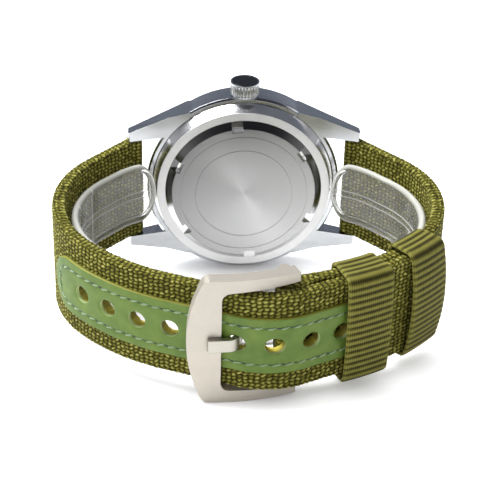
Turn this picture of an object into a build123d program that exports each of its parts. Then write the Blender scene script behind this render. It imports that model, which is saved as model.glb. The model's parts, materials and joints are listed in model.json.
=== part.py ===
from build123d import *
from math import asin, atan2, cos, degrees, hypot, radians, sin, sqrt
import os

# A buckled field watch that lies on its nine o'clock side, as separate pieces.
# It is drawn upright in its own directions: X along the straps, towards twelve o'clock on the
# positive side, Y along the case axis, towards the dial, and Z along the crown axis.
# Depths are values of Y, counted from the flat ring of the case back.
# At the end every piece is laid down on the table, so that Z points up from it.

# Clearances and cuts
fit_gap = 0.05            # running fits, threads and press seats
soft_gap = 0.12           # between webbing, canvas and what they touch
play = 0.25               # between the buckle and the strap that runs through it
overrun = 1.0             # how far a cut runs past the face that it opens

# Case back, from the middle case's radius inwards
case_radius = 20.0
flange_step = 1.1
flange_depth = 2.35
cone_run = 1.1
ring_width = 1.7
disc_slope = 1.4
disc_raise = 1.2
groove_width = 0.15
neck_step = 0.7
case_wall = 2.6
thread_length = 1.0
skirt_wall = 0.8
back_wall = 1.7
slot_count = 6
slot_width = 2.3
slot_reach = 0.7
slot_depth = 1.25
slot_angle = 24
line_radii = (13.1, 10.0)
line_width = 0.22
line_depth = 0.08
back_gasket_width = 0.5

# Middle case and lugs
case_height = 5.8
case_edge = 0.4
back_ledge = 2.1
ledge_height = 0.6
lug_width = 22.3
lug_end = 1.3
lug_tip_width = 1.95
lug_root_reach = 11.0
lug_tip_back = 0.3
lug_tip_height = 2.4
lug_shoulder_reach = 11.6
lug_heel_reach = 15.6
lug_edge = 0.3

# Bezel and crystal
bezel_inset = 0.7
bezel_slope = 1.7
bezel_rim_width = 1.25
bezel_height = 1.3
bezel_step = 0.35
crystal_thickness = 1.9
crystal_edge = 0.35
crystal_gasket_wall = 0.5
crystal_gasket_height = 1.5

# Dial side
dial_depth = 5.8
dial_thickness = 0.4
dial_hole_radius = 1.0
chapter_height = 1.45
chapter_width = 1.15
chapter_slope = 0.5
marker_length = 1.9
marker_width = 0.6
marker_height = 0.2
marker_inset = 0.7
hour_count = 12

# Hands and the arbors that carry them, at ten past ten
hand_thickness = 0.15
hand_step = 0.35
hour_hand_short = 4.0
minute_hand_short = 0.8
seconds_hand_gap = 1.05
hour_hand_width = 1.3
minute_hand_width = 1.0
seconds_hand_width = 0.3
hand_tail = 2.4
hand_hub_wall = 0.45
hour_pipe_radius = 0.85
cannon_radius = 0.57
seconds_arbor_radius = 0.27
arbor_gap = 0.07
arbor_step = 0.5
hour_hand_angle = -125
minute_hand_angle = 120
seconds_hand_angle = -30

# Movement
movement_back = 1.5
holder_wall = 2.3
holder_gap = 0.2
battery_radius = 3.4
battery_thickness = 2.6
battery_edge = 2.5
battery_stand = 0.4
clip_length = 11.0
clip_width = 1.8
clip_thickness = 0.2
clip_screw_radius = 0.7
clip_screw_head = 0.3
clip_screw_shank = 0.4
clip_screw_length = 1.6
coil_radius = 1.1
coil_length = 9.0
coil_edge = 5.9
coil_flange_radius = 1.35
coil_flange = 0.5
board_thickness = 0.3
board_inset = 1.0
board_edge = 2.6

# Crown and stem
crown_depth = 4.35
crown_radius = 2.97
crown_height = 2.65
crown_stand = 0.25
crown_wall = 1.05
crown_cavity_radius = 1.5
flute_count = 28
flute_radius = 0.24
flute_rim = 0.3
cap_radius = 2.6
cap_thickness = 0.35
cap_recess = 0.3
cap_round = 0.12
tube_radius = 1.2
tube_bore_radius = 0.55
tube_seat = 2.4
tube_stand = 1.6
stem_radius = 0.42
stem_start = 7.0
stem_hold = 0.55
stem_hole_end = 5.9
stem_pass_radius = 0.7
crown_gasket_height = 0.5
crown_gasket_drop = 0.6

# Spring bars
bar_radius = 0.75
bar_wall = 0.25
bar_tip_radius = 0.4
bar_tip_overlap = 1.9
bar_tip_reach = 1.05
bar_shoulder = 0.95
bar_hole_spare = 0.2
bar_spring_length = 4.0
bar_spring_wire = 0.12
bar_spring_turns = 9
bar_fixed_overlap = 0.8

# Straps
bar_room = 0.8
bar_depth = 2.5
strap_thickness = 2.3
strap_tube_radius = 1.6
strap_side_gap = 0.2
strap_width_front = 20.0
strap_taper_end = -50.0
strap_leave_angle = 228
strap_straight = 12.2
hole_side_extra = 1.0
hole_side_angle = 82
buckle_side_radius = 22.0
buckle_side_angle = 85
hump_radius = 14.0
hump_aside = -2.55
hump_inset = 10.05
tail_short = 0.6
strap_hole_radius = 1.7
hole_pitch = 6.3
holes_before = 5
holes_after = 3
strip_thickness = 0.8
strip_width = 11.6
strip_before = 8.7
strip_after = 5.5
strip_round = 5.2

# Keepers
keeper_width = 8.4
keeper_wall = 0.8
keeper_side_gap = 0.65
keeper_start = -1.9
keeper_space = 4.8
keeper_rise = 0.4

# Buckle
buckle_bar_x = 4.6
bar_outset = 1.09
frame_end_past = 2.25
frame_end_drop = 0.45
frame_start_angle = 203
frame_span_length = 19.95
frame_span_angle = -31
frame_inside = 1.3
frame_outside = 1.3
frame_eye_radius = 1.15
frame_arm_width = 2.65
frame_bow = 3.1
frame_corner = 1.6
window_side_gap = 0.3
window_flare = 0.85
window_corner = 1.6
bar_of_frame = 6.2
fold_length = 6.5
fold_share = 0.8
fold_corner_angle = -20
tongue_width = 2.6
tongue_thickness = 1.1
tongue_eye_radius = 1.45
tongue_start_angle = 183
tongue_aside = 0.2
tongue_rise_radius = 1.4
tongue_rise_angle = 72
tongue_rise_past = 1.1
tongue_lay_radius = 1.5
tongue_lay_angle = -71
tongue_lay_length = 3.8
notch_side_gap = 0.2
notch_depth_gap = 0.15

# Display cuff
cuff_thickness = 0.9
cuff_width = 13.4
cuff_rise = 0.6
cuff_round = 4.0
cuff_gap = 0.27
cuff_join = 8.2
cuff_lip_length = 9.0
cuff_lip_angle = 38
cuff_groove_width = 1.4
cuff_groove_depth = 0.15

# Radii, widths and reaches that follow from the sizes above
flange_radius = case_radius - flange_step
ring_radius = flange_radius - cone_run
ring_inner_radius = ring_radius - ring_width
disc_radius = ring_inner_radius - disc_slope
neck_radius = flange_radius - neck_step
thread_radius = case_radius - case_wall
case_bore_radius = thread_radius - back_ledge
bezel_radius = case_radius - bezel_inset
bezel_rim_radius = bezel_radius - bezel_slope
seat_radius = bezel_rim_radius - bezel_rim_width
crystal_radius = seat_radius - crystal_gasket_wall - fit_gap
movement_radius = case_bore_radius - holder_gap - holder_wall
battery_reach = movement_radius - battery_edge - battery_radius
coil_reach = movement_radius - coil_edge
board_reach = movement_radius - board_inset
tube_start = case_radius - tube_seat
bar_reach = case_radius + bar_room + strap_tube_radius
lug_reach = bar_reach + lug_end
lug_half = lug_width / 2
lug_tip_half = lug_half + lug_tip_width
lug_root_half = sqrt(case_radius ** 2 - lug_root_reach ** 2)
strap_width_lugs = lug_width - 2 * strap_side_gap
front_half = strap_width_front / 2
window_half = front_half + window_side_gap
frame_half = window_half + frame_arm_width
hole_side_radius = buckle_side_radius + hole_side_extra

# Depths that follow from the sizes above
case_back_face = flange_depth + groove_width
case_top = case_back_face + case_height
ledge_depth = case_top - ledge_height
back_floor = back_wall - disc_raise
movement_top = dial_depth - fit_gap
hour_hand_depth = dial_depth + dial_thickness + hand_step
minute_hand_depth = hour_hand_depth + hand_step
seconds_hand_depth = minute_hand_depth + hand_step
crown_base = case_radius + crown_stand

# Plane across the case axis, as one looks at the dial: its own y is the crown's direction.
# Twelve o'clock lies at 180 degrees in it, and the hours run clockwise.
DIAL = Plane(origin=(0, 0, 0), x_dir=(-1, 0, 0), z_dir=(0, 1, 0))


def toward(heading, length=1.0):
    """The step of that length in a direction of the X-Y plane, in degrees."""
    return (length * cos(radians(heading)), length * sin(radians(heading)))


def shifted(point, heading, length):
    """The point moved by that length in that direction."""
    step = toward(heading, length)
    return (point[0] + step[0], point[1] + step[1])


def arc(radius, turn):
    """One piece of a route: the length along an arc, and its turn in degrees."""
    return (radius * radians(abs(turn)), turn)


def ends_of(start, heading, pieces, aside=0.0):
    """The points and headings between the pieces of a route that is moved aside to its left."""
    at = shifted(start, heading + 90, aside)
    stops = [(at, heading)]
    for length, turn in pieces:
        run = length - radians(turn) * aside
        if turn:
            chord = 2 * run / radians(turn) * sin(radians(turn) / 2)
            at = shifted(at, heading + turn / 2, chord)
        else:
            at = shifted(at, heading, run)
        heading += turn
        stops.append((at, heading))
    return stops


def stretch(route, begin, finish):
    """The part of a route between two distances along it."""
    start, heading, pieces = route
    stops = ends_of(start, heading, pieces)
    picked = []
    new_start = None
    travelled = 0.0
    for (at, facing), (length, turn) in zip(stops, pieces):
        low = max(begin - travelled, 0.0)
        high = min(finish - travelled, length)
        if high > low:
            share = (high - low) / length
            if new_start is None:
                new_start = ends_of(at, facing, [(low, turn * low / length)])[-1]
            picked.append((high - low, turn * share))
        travelled += length
    return (new_start[0], new_start[1], picked)


def place_on(route, distance):
    """The point and the heading at a distance along a route."""
    stops = ends_of(*stretch(route, 0.0, distance))
    return stops[-1]


def length_of(route):
    """The length of a route along its own line."""
    return sum(length for length, turn in route[2])


def draw_side(route, aside, side):
    """Draw a route's line, moved aside, as tangent lines and arcs. side -1 mirrors it in X."""
    start, heading, pieces = route
    stops = ends_of(start, heading, pieces, aside)
    for (at, facing), (to, after), (length, turn) in zip(stops, stops[1:], pieces):
        if turn:
            run = length - radians(turn) * aside
            half = ends_of(at, facing, [(run / 2, turn / 2)])[-1][0]
            ThreePointArc((side * at[0], at[1]), (side * half[0], half[1]), (side * to[0], to[1]))
        else:
            Line((side * at[0], at[1]), (side * to[0], to[1]))
    return stops[0][0], stops[-1][0]


def band(route, low, high, side=1):
    """A band that follows a route between two distances to its left, in the sketch at hand."""
    with BuildLine() as outline:
        low_start, low_end = draw_side(route, low, side)
        high_start, high_end = draw_side(route, high, side)
        Line((side * low_start[0], low_start[1]), (side * high_start[0], high_start[1]))
        Line((side * low_end[0], low_end[1]), (side * high_end[0], high_end[1]))
    make_face(outline.edges())


def crossed(one, other):
    """The cross product of two steps: how far the other one goes to the left of the first."""
    return one[0] * other[1] - one[1] * other[0]


def dotted(one, other):
    """The dot product of two steps: how far the other one goes along the first."""
    return one[0] * other[0] + one[1] * other[1]


def run_between(centre, radius, to_centre, to_radius):
    """The heading and the length of the straight run between two arcs that turn left."""
    step = (to_centre[0] - centre[0], to_centre[1] - centre[1])
    tilt = asin((radius - to_radius) / hypot(*step))
    return degrees(atan2(step[1], step[0]) + tilt), hypot(*step) * cos(tilt)


def spot(x, y, radius, mode=Mode.ADD):
    """A circle at a place of the sketch at hand."""
    with Locations((x, y)):
        Circle(radius, mode=mode)


# The two straps' centre lines, both as seen on the six o'clock side: they leave the spring bar
# straight, turn round the wrist's side, and meet the front. Left of a route is inside the loop.
bar_at = (-bar_reach, bar_depth)


def front_of(side_radius, side_turn):
    """The radius and the depth of the centre of the front arc that a side's arc runs into."""
    straight_end = shifted(bar_at, strap_leave_angle, strap_straight)
    side_centre = shifted(straight_end, strap_leave_angle + 90, side_radius)
    slope = radians(strap_leave_angle + side_turn - 90 - 180)
    extra = -side_centre[0] / cos(slope)
    return side_radius + extra, side_centre[1] + extra * sin(slope)


hole_front_radius, hole_front_y = front_of(hole_side_radius, hole_side_angle)
buckle_front_radius, buckle_front_y = front_of(buckle_side_radius, buckle_side_angle)

# The buckle's bar lies a little outside the strap that carries it. The strap with the holes
# leaves its front arc straight, rides over the bar in one short arc, and lands on the outside of
# the other strap.
layer = strap_thickness + soft_gap
outer_radius = buckle_front_radius + layer
on_strap_y = buckle_front_y - sqrt(buckle_front_radius ** 2 - buckle_bar_x ** 2)
buckle_bar_y = on_strap_y - bar_outset
hump_centre = (buckle_bar_x + hump_aside, buckle_bar_y + hump_inset)
leave_heading, leave_run = run_between((0, hole_front_y), hole_front_radius, hump_centre, hump_radius)
meet_heading, meet_run = run_between(hump_centre, hump_radius, (0, buckle_front_y), outer_radius)
hole_front_turn = 360 + leave_heading - strap_leave_angle - hole_side_angle
buckle_front_start = strap_leave_angle + buckle_side_angle
tail_turn = 360 - buckle_front_start - meet_heading - degrees(tail_short / outer_radius)
front_limit = buckle_bar_y - frame_half
hole_route = (bar_at, strap_leave_angle, [
    (strap_straight, 0),
    arc(hole_side_radius, hole_side_angle),
    arc(hole_front_radius, hole_front_turn),
    (leave_run, 0),
    arc(hump_radius, meet_heading - leave_heading),
    (meet_run, 0),
    arc(outer_radius, tail_turn),
])
buckle_end_turn = 360 - buckle_front_start - degrees(asin(buckle_bar_x / buckle_front_radius))
buckle_route = (bar_at, strap_leave_angle, [
    (strap_straight, 0),
    arc(buckle_side_radius, buckle_side_angle),
    arc(buckle_front_radius, buckle_end_turn),
])
hump_start = sum(length for length, turn in hole_route[2][:4])
front_start = sum(length for length, turn in buckle_route[2][:2])
hole_places = [hump_start + hole_pitch * step for step in range(-holes_before, holes_after + 1)]
half_strap = strap_thickness / 2

# The tongue rises through the hole where the hump starts, and lies down on the frame
hole_at = place_on(hole_route, hump_start)[0]
rise_angle = tongue_start_angle + tongue_rise_angle
bend_end = ends_of((buckle_bar_x, buckle_bar_y), tongue_start_angle,
                   [arc(tongue_rise_radius, tongue_rise_angle)])[-1][0]
to_hole = (hole_at[0] - bend_end[0], hole_at[1] - bend_end[1])
tongue_lead_length = ((crossed(toward(rise_angle), to_hole) - tongue_aside)
                      / crossed(toward(rise_angle), toward(tongue_start_angle)))
tongue_rise_length = (dotted(toward(rise_angle), to_hole) + tongue_rise_past
                      - tongue_lead_length * cos(radians(tongue_rise_angle)))
tongue_route = ((buckle_bar_x, buckle_bar_y), tongue_start_angle, [
    (tongue_lead_length, 0), arc(tongue_rise_radius, tongue_rise_angle), (tongue_rise_length, 0),
    arc(tongue_lay_radius, tongue_lay_angle), (tongue_lay_length, 0)])


def strap_width_cut():
    """Keep only what lies within the strap's width, which narrows from the lugs to the front."""
    wide = strap_width_lugs / 2
    with BuildSketch(Plane.YZ) as width_view:
        Polygon(
            (bar_depth + strap_tube_radius + overrun, wide), (0, wide),
            (strap_taper_end, front_half), (front_limit, front_half),
            (front_limit, -front_half), (strap_taper_end, -front_half),
            (0, -wide), (bar_depth + strap_tube_radius + overrun, -wide),
            align=None,
        )
    extrude(width_view.sketch, amount=case_radius + lug_reach, both=True, mode=Mode.INTERSECT)


def holes_through(inside, outside):
    """Cut the row of holes through what lies between two distances aside of the hole route."""
    for distance in hole_places:
        centre, heading = place_on(hole_route, distance)
        begin = shifted(centre, heading + 90, inside + overrun)
        outward = toward(heading - 90)
        with BuildSketch(Plane(origin=(*begin, 0), x_dir=(0, 0, 1), z_dir=(*outward, 0))) as hole:
            Circle(strap_hole_radius)
        extrude(hole.sketch, amount=inside - outside + 2 * overrun, mode=Mode.SUBTRACT)


def round_profile(points, mode=Mode.ADD):
    """Turn an outline of radius and depth about the case axis."""
    with BuildSketch(Plane.XY) as profile:
        Polygon(*points, align=None)
    revolve(profile.sketch, axis=Axis.Y, mode=mode)


def box_of(low_x, high_x, low_y, high_y):
    """An outline of a rectangle between two corners, for a sketch."""
    return [(low_x, low_y), (high_x, low_y), (high_x, high_y), (low_x, high_y)]


pieces = []


def keep(made, name):
    """Label a finished piece and remember it for writing."""
    made.part.label = name
    pieces.append(made)


# Case back: screwed in, with a raised disc, six wrench slots in its cone, and a skirt
with BuildPart() as case_back:
    skirt_radius = thread_radius - skirt_wall
    round_profile([
        (0, -disc_raise), (disc_radius, -disc_raise), (ring_inner_radius, 0), (ring_radius, 0),
        (flange_radius, flange_depth), (neck_radius, flange_depth), (neck_radius, case_back_face),
        (thread_radius, case_back_face), (thread_radius, case_back_face + thread_length),
        (skirt_radius, case_back_face + thread_length), (skirt_radius, back_floor), (0, back_floor),
    ])
    slot_inner = disc_radius - slot_reach
    slot_length = ring_inner_radius - slot_inner
    with BuildSketch(DIAL.offset(-disc_raise)):
        with PolarLocations(slot_inner + slot_length / 2, slot_count, start_angle=slot_angle):
            Rectangle(slot_length, slot_width)
    extrude(amount=slot_depth, mode=Mode.SUBTRACT)
    for line_radius in line_radii:
        round_profile(box_of(line_radius - line_width / 2, line_radius + line_width / 2,
                             -disc_raise - overrun, -disc_raise + line_depth), Mode.SUBTRACT)
keep(case_back, "case_back")

with BuildPart() as case_back_gasket:
    gasket_outer = thread_radius + fit_gap + back_gasket_width
    round_profile(box_of(thread_radius + fit_gap, gasket_outer, case_back_face + fit_gap,
                         case_back_face + back_gasket_width - fit_gap))
keep(case_back_gasket, "case_back_gasket")

# One lug: its outline seen from behind, cut to its outline seen from the side
with BuildPart() as lug:
    with BuildSketch(DIAL.offset(lug_tip_back - overrun)):
        Polygon((-lug_root_reach, lug_half), (-lug_reach, lug_half), (-lug_reach, lug_tip_half),
                (-lug_root_reach, lug_root_half), align=None)
    extrude(amount=case_top + overrun)
    with BuildSketch(Plane.XY.offset(lug_half)):
        with BuildLine():
            lug_top = lug_tip_back + lug_tip_height
            Polyline((lug_reach, lug_top), (lug_reach, lug_tip_back + case_edge),
                     (lug_reach - case_edge, lug_tip_back), (lug_heel_reach, case_back_face),
                     (lug_root_reach, case_back_face), (lug_root_reach, case_top),
                     (lug_shoulder_reach, case_top))
            Line((lug_shoulder_reach, case_top), (lug_reach, lug_top))
        make_face()
    extrude(amount=lug_root_half - lug_half, mode=Mode.INTERSECT)
    fillet(lug.edges().filter_by(Axis.Y).group_by(Axis.X)[-1], lug_edge)

# Middle case: the round body with its four lugs, bored for all that goes inside
with BuildPart() as case_middle:
    round_profile([
        (0, case_back_face), (case_radius - case_edge, case_back_face),
        (case_radius, case_back_face + case_edge), (case_radius, case_top - case_edge),
        (case_radius - case_edge, case_top), (0, case_top),
    ])
    add(lug.part)
    add(mirror(lug.part, about=Plane.XY))
    add(mirror(lug.part, about=Plane.YZ))
    add(mirror(mirror(lug.part, about=Plane.XY), about=Plane.YZ))
    bore_radius = thread_radius + fit_gap
    thread_end = case_back_face + thread_length + play
    round_profile(box_of(0, bore_radius, case_back_face - overrun, thread_end), Mode.SUBTRACT)
    round_profile(box_of(0, gasket_outer + fit_gap, case_back_face - overrun,
                         case_back_face + back_gasket_width), Mode.SUBTRACT)
    round_profile(box_of(0, case_bore_radius, thread_end - overrun, case_top), Mode.SUBTRACT)
    round_profile(box_of(0, seat_radius, ledge_depth, case_top + overrun), Mode.SUBTRACT)
    with BuildSketch(Plane.XY.offset(tube_start)):
        spot(0, crown_depth, tube_radius + fit_gap)
    extrude(amount=case_radius - tube_start + overrun, mode=Mode.SUBTRACT)
    with BuildSketch(Plane.XY.offset(case_bore_radius - overrun)):
        spot(0, crown_depth, stem_pass_radius)
    extrude(amount=tube_start - case_bore_radius + 2 * overrun, mode=Mode.SUBTRACT)
    for level in (1, -1):
        with BuildSketch(Plane.XY.offset(level * (lug_half - bar_tip_reach))):
            for reach in (bar_reach, -bar_reach):
                spot(reach, bar_depth, bar_tip_radius + fit_gap)
        extrude(amount=level * (2 * bar_tip_reach + bar_hole_spare), mode=Mode.SUBTRACT)
keep(case_middle, "case_middle")

# Bezel, crystal and its gasket
with BuildPart() as bezel:
    bezel_top = case_top + bezel_height
    round_profile([
        (seat_radius, case_top), (bezel_radius, case_top), (bezel_radius, case_top + bezel_step),
        (bezel_rim_radius, bezel_top), (seat_radius, bezel_top),
    ])
keep(bezel, "bezel")

with BuildPart() as crystal:
    crystal_back = ledge_depth + fit_gap
    crystal_top = crystal_back + crystal_thickness
    round_profile([
        (0, crystal_back), (crystal_radius, crystal_back), (crystal_radius, crystal_top - crystal_edge),
        (crystal_radius - crystal_edge, crystal_top), (0, crystal_top),
    ])
keep(crystal, "crystal")

with BuildPart() as crystal_gasket:
    round_profile(box_of(crystal_radius + fit_gap, crystal_radius + crystal_gasket_wall,
                         ledge_depth + fit_gap, ledge_depth + crystal_gasket_height))
keep(crystal_gasket, "crystal_gasket")

# Dial, chapter ring and hour markers
dial_radius = case_bore_radius - 2 * fit_gap
dial_top = dial_depth + dial_thickness
with BuildPart() as dial:
    round_profile(box_of(dial_hole_radius, dial_radius, dial_depth, dial_top))
keep(dial, "dial")

with BuildPart() as chapter_ring:
    ring_foot = dial_radius - chapter_width
    chapter_top = dial_top + chapter_height
    round_profile([(dial_radius, dial_top), (ring_foot, dial_top),
                   (ring_foot + chapter_slope, chapter_top), (dial_radius, chapter_top)])
keep(chapter_ring, "chapter_ring")

with BuildPart() as hour_markers:
    with BuildSketch(DIAL.offset(dial_top)):
        with PolarLocations(ring_foot - marker_inset - marker_length / 2, hour_count):
            Rectangle(marker_length, marker_width)
    extrude(amount=marker_height)
keep(hour_markers, "hour_markers")


def make_hand(name, depth, arbor_radius, length, width, angle, tail):
    """A hand: a hub ring on its arbor, a blade that narrows to its tip, and a short tail."""
    hub = arbor_radius + fit_gap + hand_hub_wall
    pointing = Plane(origin=(0, depth, 0), x_dir=(-cos(radians(angle)), 0, sin(radians(angle))),
                     z_dir=(0, 1, 0))
    with BuildPart() as hand:
        with BuildSketch(pointing):
            Circle(hub)
            Polygon((-tail, -width / 2), (length - width, -width / 2), (length, 0),
                    (length - width, width / 2), (-tail, width / 2), align=None)
            Circle(arbor_radius + fit_gap, mode=Mode.SUBTRACT)
        extrude(amount=hand_thickness)
    keep(hand, name)


def make_arbor(name, radius, bore, low, high):
    """A pipe or a pin on the case axis."""
    with BuildPart() as arbor:
        round_profile(box_of(bore, radius, low, high))
    keep(arbor, name)


seconds_hand_length = ring_foot - seconds_hand_gap
minute_hand_length = seconds_hand_length - minute_hand_short
hour_hand_length = minute_hand_length - hour_hand_short
make_hand("hour_hand", hour_hand_depth, hour_pipe_radius, hour_hand_length, hour_hand_width,
          hour_hand_angle, 0)
make_hand("minute_hand", minute_hand_depth, cannon_radius, minute_hand_length, minute_hand_width,
          minute_hand_angle, 0)
make_hand("seconds_hand", seconds_hand_depth, seconds_arbor_radius, seconds_hand_length,
          seconds_hand_width, seconds_hand_angle, hand_tail)
arbor_low = movement_top - 3 * arbor_step
make_arbor("hour_wheel_pipe", hour_pipe_radius, cannon_radius + arbor_gap, arbor_low + 2 * arbor_step,
           hour_hand_depth + hand_thickness)
make_arbor("cannon_pinion", cannon_radius, seconds_arbor_radius + arbor_gap, arbor_low + arbor_step,
           minute_hand_depth + hand_thickness)
make_arbor("seconds_arbor", seconds_arbor_radius, 0, arbor_low, seconds_hand_depth + hand_thickness)

# Movement: the body with its pockets, and what sits in and on it
coil_depth = movement_back + coil_flange_radius + fit_gap
battery_back = movement_back - battery_stand
with BuildPart() as movement_body:
    round_profile(box_of(0, movement_radius, movement_back, movement_top))
    round_profile(box_of(0, hour_pipe_radius + arbor_gap, arbor_low - fit_gap,
                         movement_top + overrun), Mode.SUBTRACT)
    with BuildSketch(DIAL.offset(movement_back)):
        spot(battery_reach, 0, battery_radius + fit_gap)
    extrude(amount=battery_thickness - battery_stand + fit_gap, mode=Mode.SUBTRACT)
    with BuildSketch(DIAL.offset(movement_back)):
        with Locations((-coil_reach, 0)):
            Rectangle(2 * coil_flange_radius + 2 * fit_gap, coil_length + 2 * fit_gap)
    extrude(amount=2 * coil_flange_radius + 2 * fit_gap, mode=Mode.SUBTRACT)
    with BuildSketch(Plane.XY.offset(stem_hole_end)):
        spot(0, crown_depth, stem_radius + fit_gap)
    extrude(amount=movement_radius - stem_hole_end + overrun, mode=Mode.SUBTRACT)
    with BuildSketch(DIAL.offset(movement_back)):
        for end in (1, -1):
            spot(battery_reach, end * clip_length / 2, clip_screw_shank + fit_gap)
    extrude(amount=clip_screw_length, mode=Mode.SUBTRACT)
keep(movement_body, "movement_body")

with BuildPart() as battery:
    with BuildSketch(DIAL.offset(battery_back)):
        spot(battery_reach, 0, battery_radius)
    extrude(amount=battery_thickness)
keep(battery, "battery")

with BuildPart() as coil:
    with BuildSketch(Plane.XY.offset(-coil_length / 2)):
        spot(coil_reach, coil_depth, coil_flange_radius)
    extrude(amount=coil_flange)
    with BuildSketch(Plane.XY.offset(-coil_length / 2)):
        spot(coil_reach, coil_depth, coil_radius)
    extrude(amount=coil_length)
    with BuildSketch(Plane.XY.offset(coil_length / 2 - coil_flange)):
        spot(coil_reach, coil_depth, coil_flange_radius)
    extrude(amount=coil_flange)
keep(coil, "coil")

with BuildPart() as circuit_board:
    with BuildSketch(DIAL.offset(movement_back - board_thickness)):
        Circle(board_reach)
        with Locations((battery_reach - board_edge, 0)):
            Rectangle(2 * board_reach, 2 * board_reach, align=(Align.MIN, Align.CENTER),
                      mode=Mode.SUBTRACT)
        spot(battery_reach, 0, battery_radius + play, Mode.SUBTRACT)
    extrude(amount=board_thickness)
keep(circuit_board, "circuit_board")

with BuildPart() as battery_clip:
    with BuildSketch(DIAL.offset(battery_back - clip_thickness)):
        with Locations((battery_reach, 0)):
            SlotCenterToCenter(clip_length, clip_width, rotation=90)
        for end in (1, -1):
            spot(battery_reach, end * clip_length / 2, clip_screw_shank + fit_gap, Mode.SUBTRACT)
    extrude(amount=clip_thickness)
    with BuildSketch(DIAL.offset(battery_back)):
        for end in (1, -1):
            spot(battery_reach, end * clip_length / 2, clip_screw_radius)
            spot(battery_reach, end * clip_length / 2, clip_screw_shank + fit_gap, Mode.SUBTRACT)
    extrude(amount=battery_stand)
keep(battery_clip, "battery_clip")

with BuildPart() as clip_screws:
    screw_back = battery_back - clip_thickness - clip_screw_head
    with BuildSketch(DIAL.offset(screw_back)):
        for end in (1, -1):
            spot(battery_reach, end * clip_length / 2, clip_screw_radius)
    extrude(amount=clip_screw_head)
    with BuildSketch(DIAL.offset(screw_back)):
        for end in (1, -1):
            spot(battery_reach, end * clip_length / 2, clip_screw_shank)
    extrude(amount=clip_screw_head + clip_thickness + clip_screw_length)
keep(clip_screws, "clip_screws")

with BuildPart() as movement_holder:
    round_profile(box_of(movement_radius + fit_gap, movement_radius + holder_wall,
                         back_floor + fit_gap, movement_top))
    with BuildSketch(Plane.XY.offset(movement_radius - overrun)):
        spot(0, crown_depth, stem_pass_radius)
    extrude(amount=holder_wall + 2 * overrun, mode=Mode.SUBTRACT)
keep(movement_holder, "movement_holder")

# Crown, its cap, tube, gasket and stem
crown_top = crown_base + crown_height
cavity_top = crown_top - crown_wall
with BuildPart() as crown:
    with BuildSketch(Plane.XY.offset(crown_base)):
        spot(0, crown_depth, crown_radius)
    extrude(amount=crown_height)
    with BuildSketch(Plane.XY.offset(crown_base + flute_rim)):
        with Locations((0, crown_depth)):
            with PolarLocations(crown_radius, flute_count):
                Circle(flute_radius)
    extrude(amount=crown_height - 2 * flute_rim, mode=Mode.SUBTRACT)
    with BuildSketch(Plane.XY.offset(crown_base - overrun)):
        spot(0, crown_depth, crown_cavity_radius)
    extrude(amount=cavity_top - crown_base + overrun, mode=Mode.SUBTRACT)
    with BuildSketch(Plane.XY.offset(cavity_top - overrun)):
        spot(0, crown_depth, stem_radius + fit_gap / 2)
    extrude(amount=overrun + stem_hold, mode=Mode.SUBTRACT)
    with BuildSketch(Plane.XY.offset(crown_top - cap_recess)):
        spot(0, crown_depth, cap_radius + fit_gap)
    extrude(amount=cap_recess + overrun, mode=Mode.SUBTRACT)
keep(crown, "crown")

with BuildPart() as crown_cap:
    with BuildSketch(Plane.XY.offset(crown_top - cap_recess)):
        spot(0, crown_depth, cap_radius)
    extrude(amount=cap_thickness)
    fillet(crown_cap.edges().group_by(Axis.Z)[-1], cap_round)
keep(crown_cap, "crown_cap")

with BuildPart() as crown_tube:
    with BuildSketch(Plane.XY.offset(tube_start)):
        spot(0, crown_depth, tube_radius)
        spot(0, crown_depth, tube_bore_radius, Mode.SUBTRACT)
    extrude(amount=case_radius + tube_stand - tube_start)
keep(crown_tube, "crown_tube")

with BuildPart() as crown_gasket:
    with BuildSketch(Plane.XY.offset(cavity_top - crown_gasket_drop - crown_gasket_height)):
        spot(0, crown_depth, crown_cavity_radius - fit_gap)
        spot(0, crown_depth, tube_radius + fit_gap, Mode.SUBTRACT)
    extrude(amount=crown_gasket_height)
keep(crown_gasket, "crown_gasket")

with BuildPart() as stem:
    with BuildSketch(Plane.XY.offset(stem_start)):
        spot(0, crown_depth, stem_radius)
    extrude(amount=cavity_top + stem_hold - fit_gap - stem_start)
keep(stem, "stem")


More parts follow.
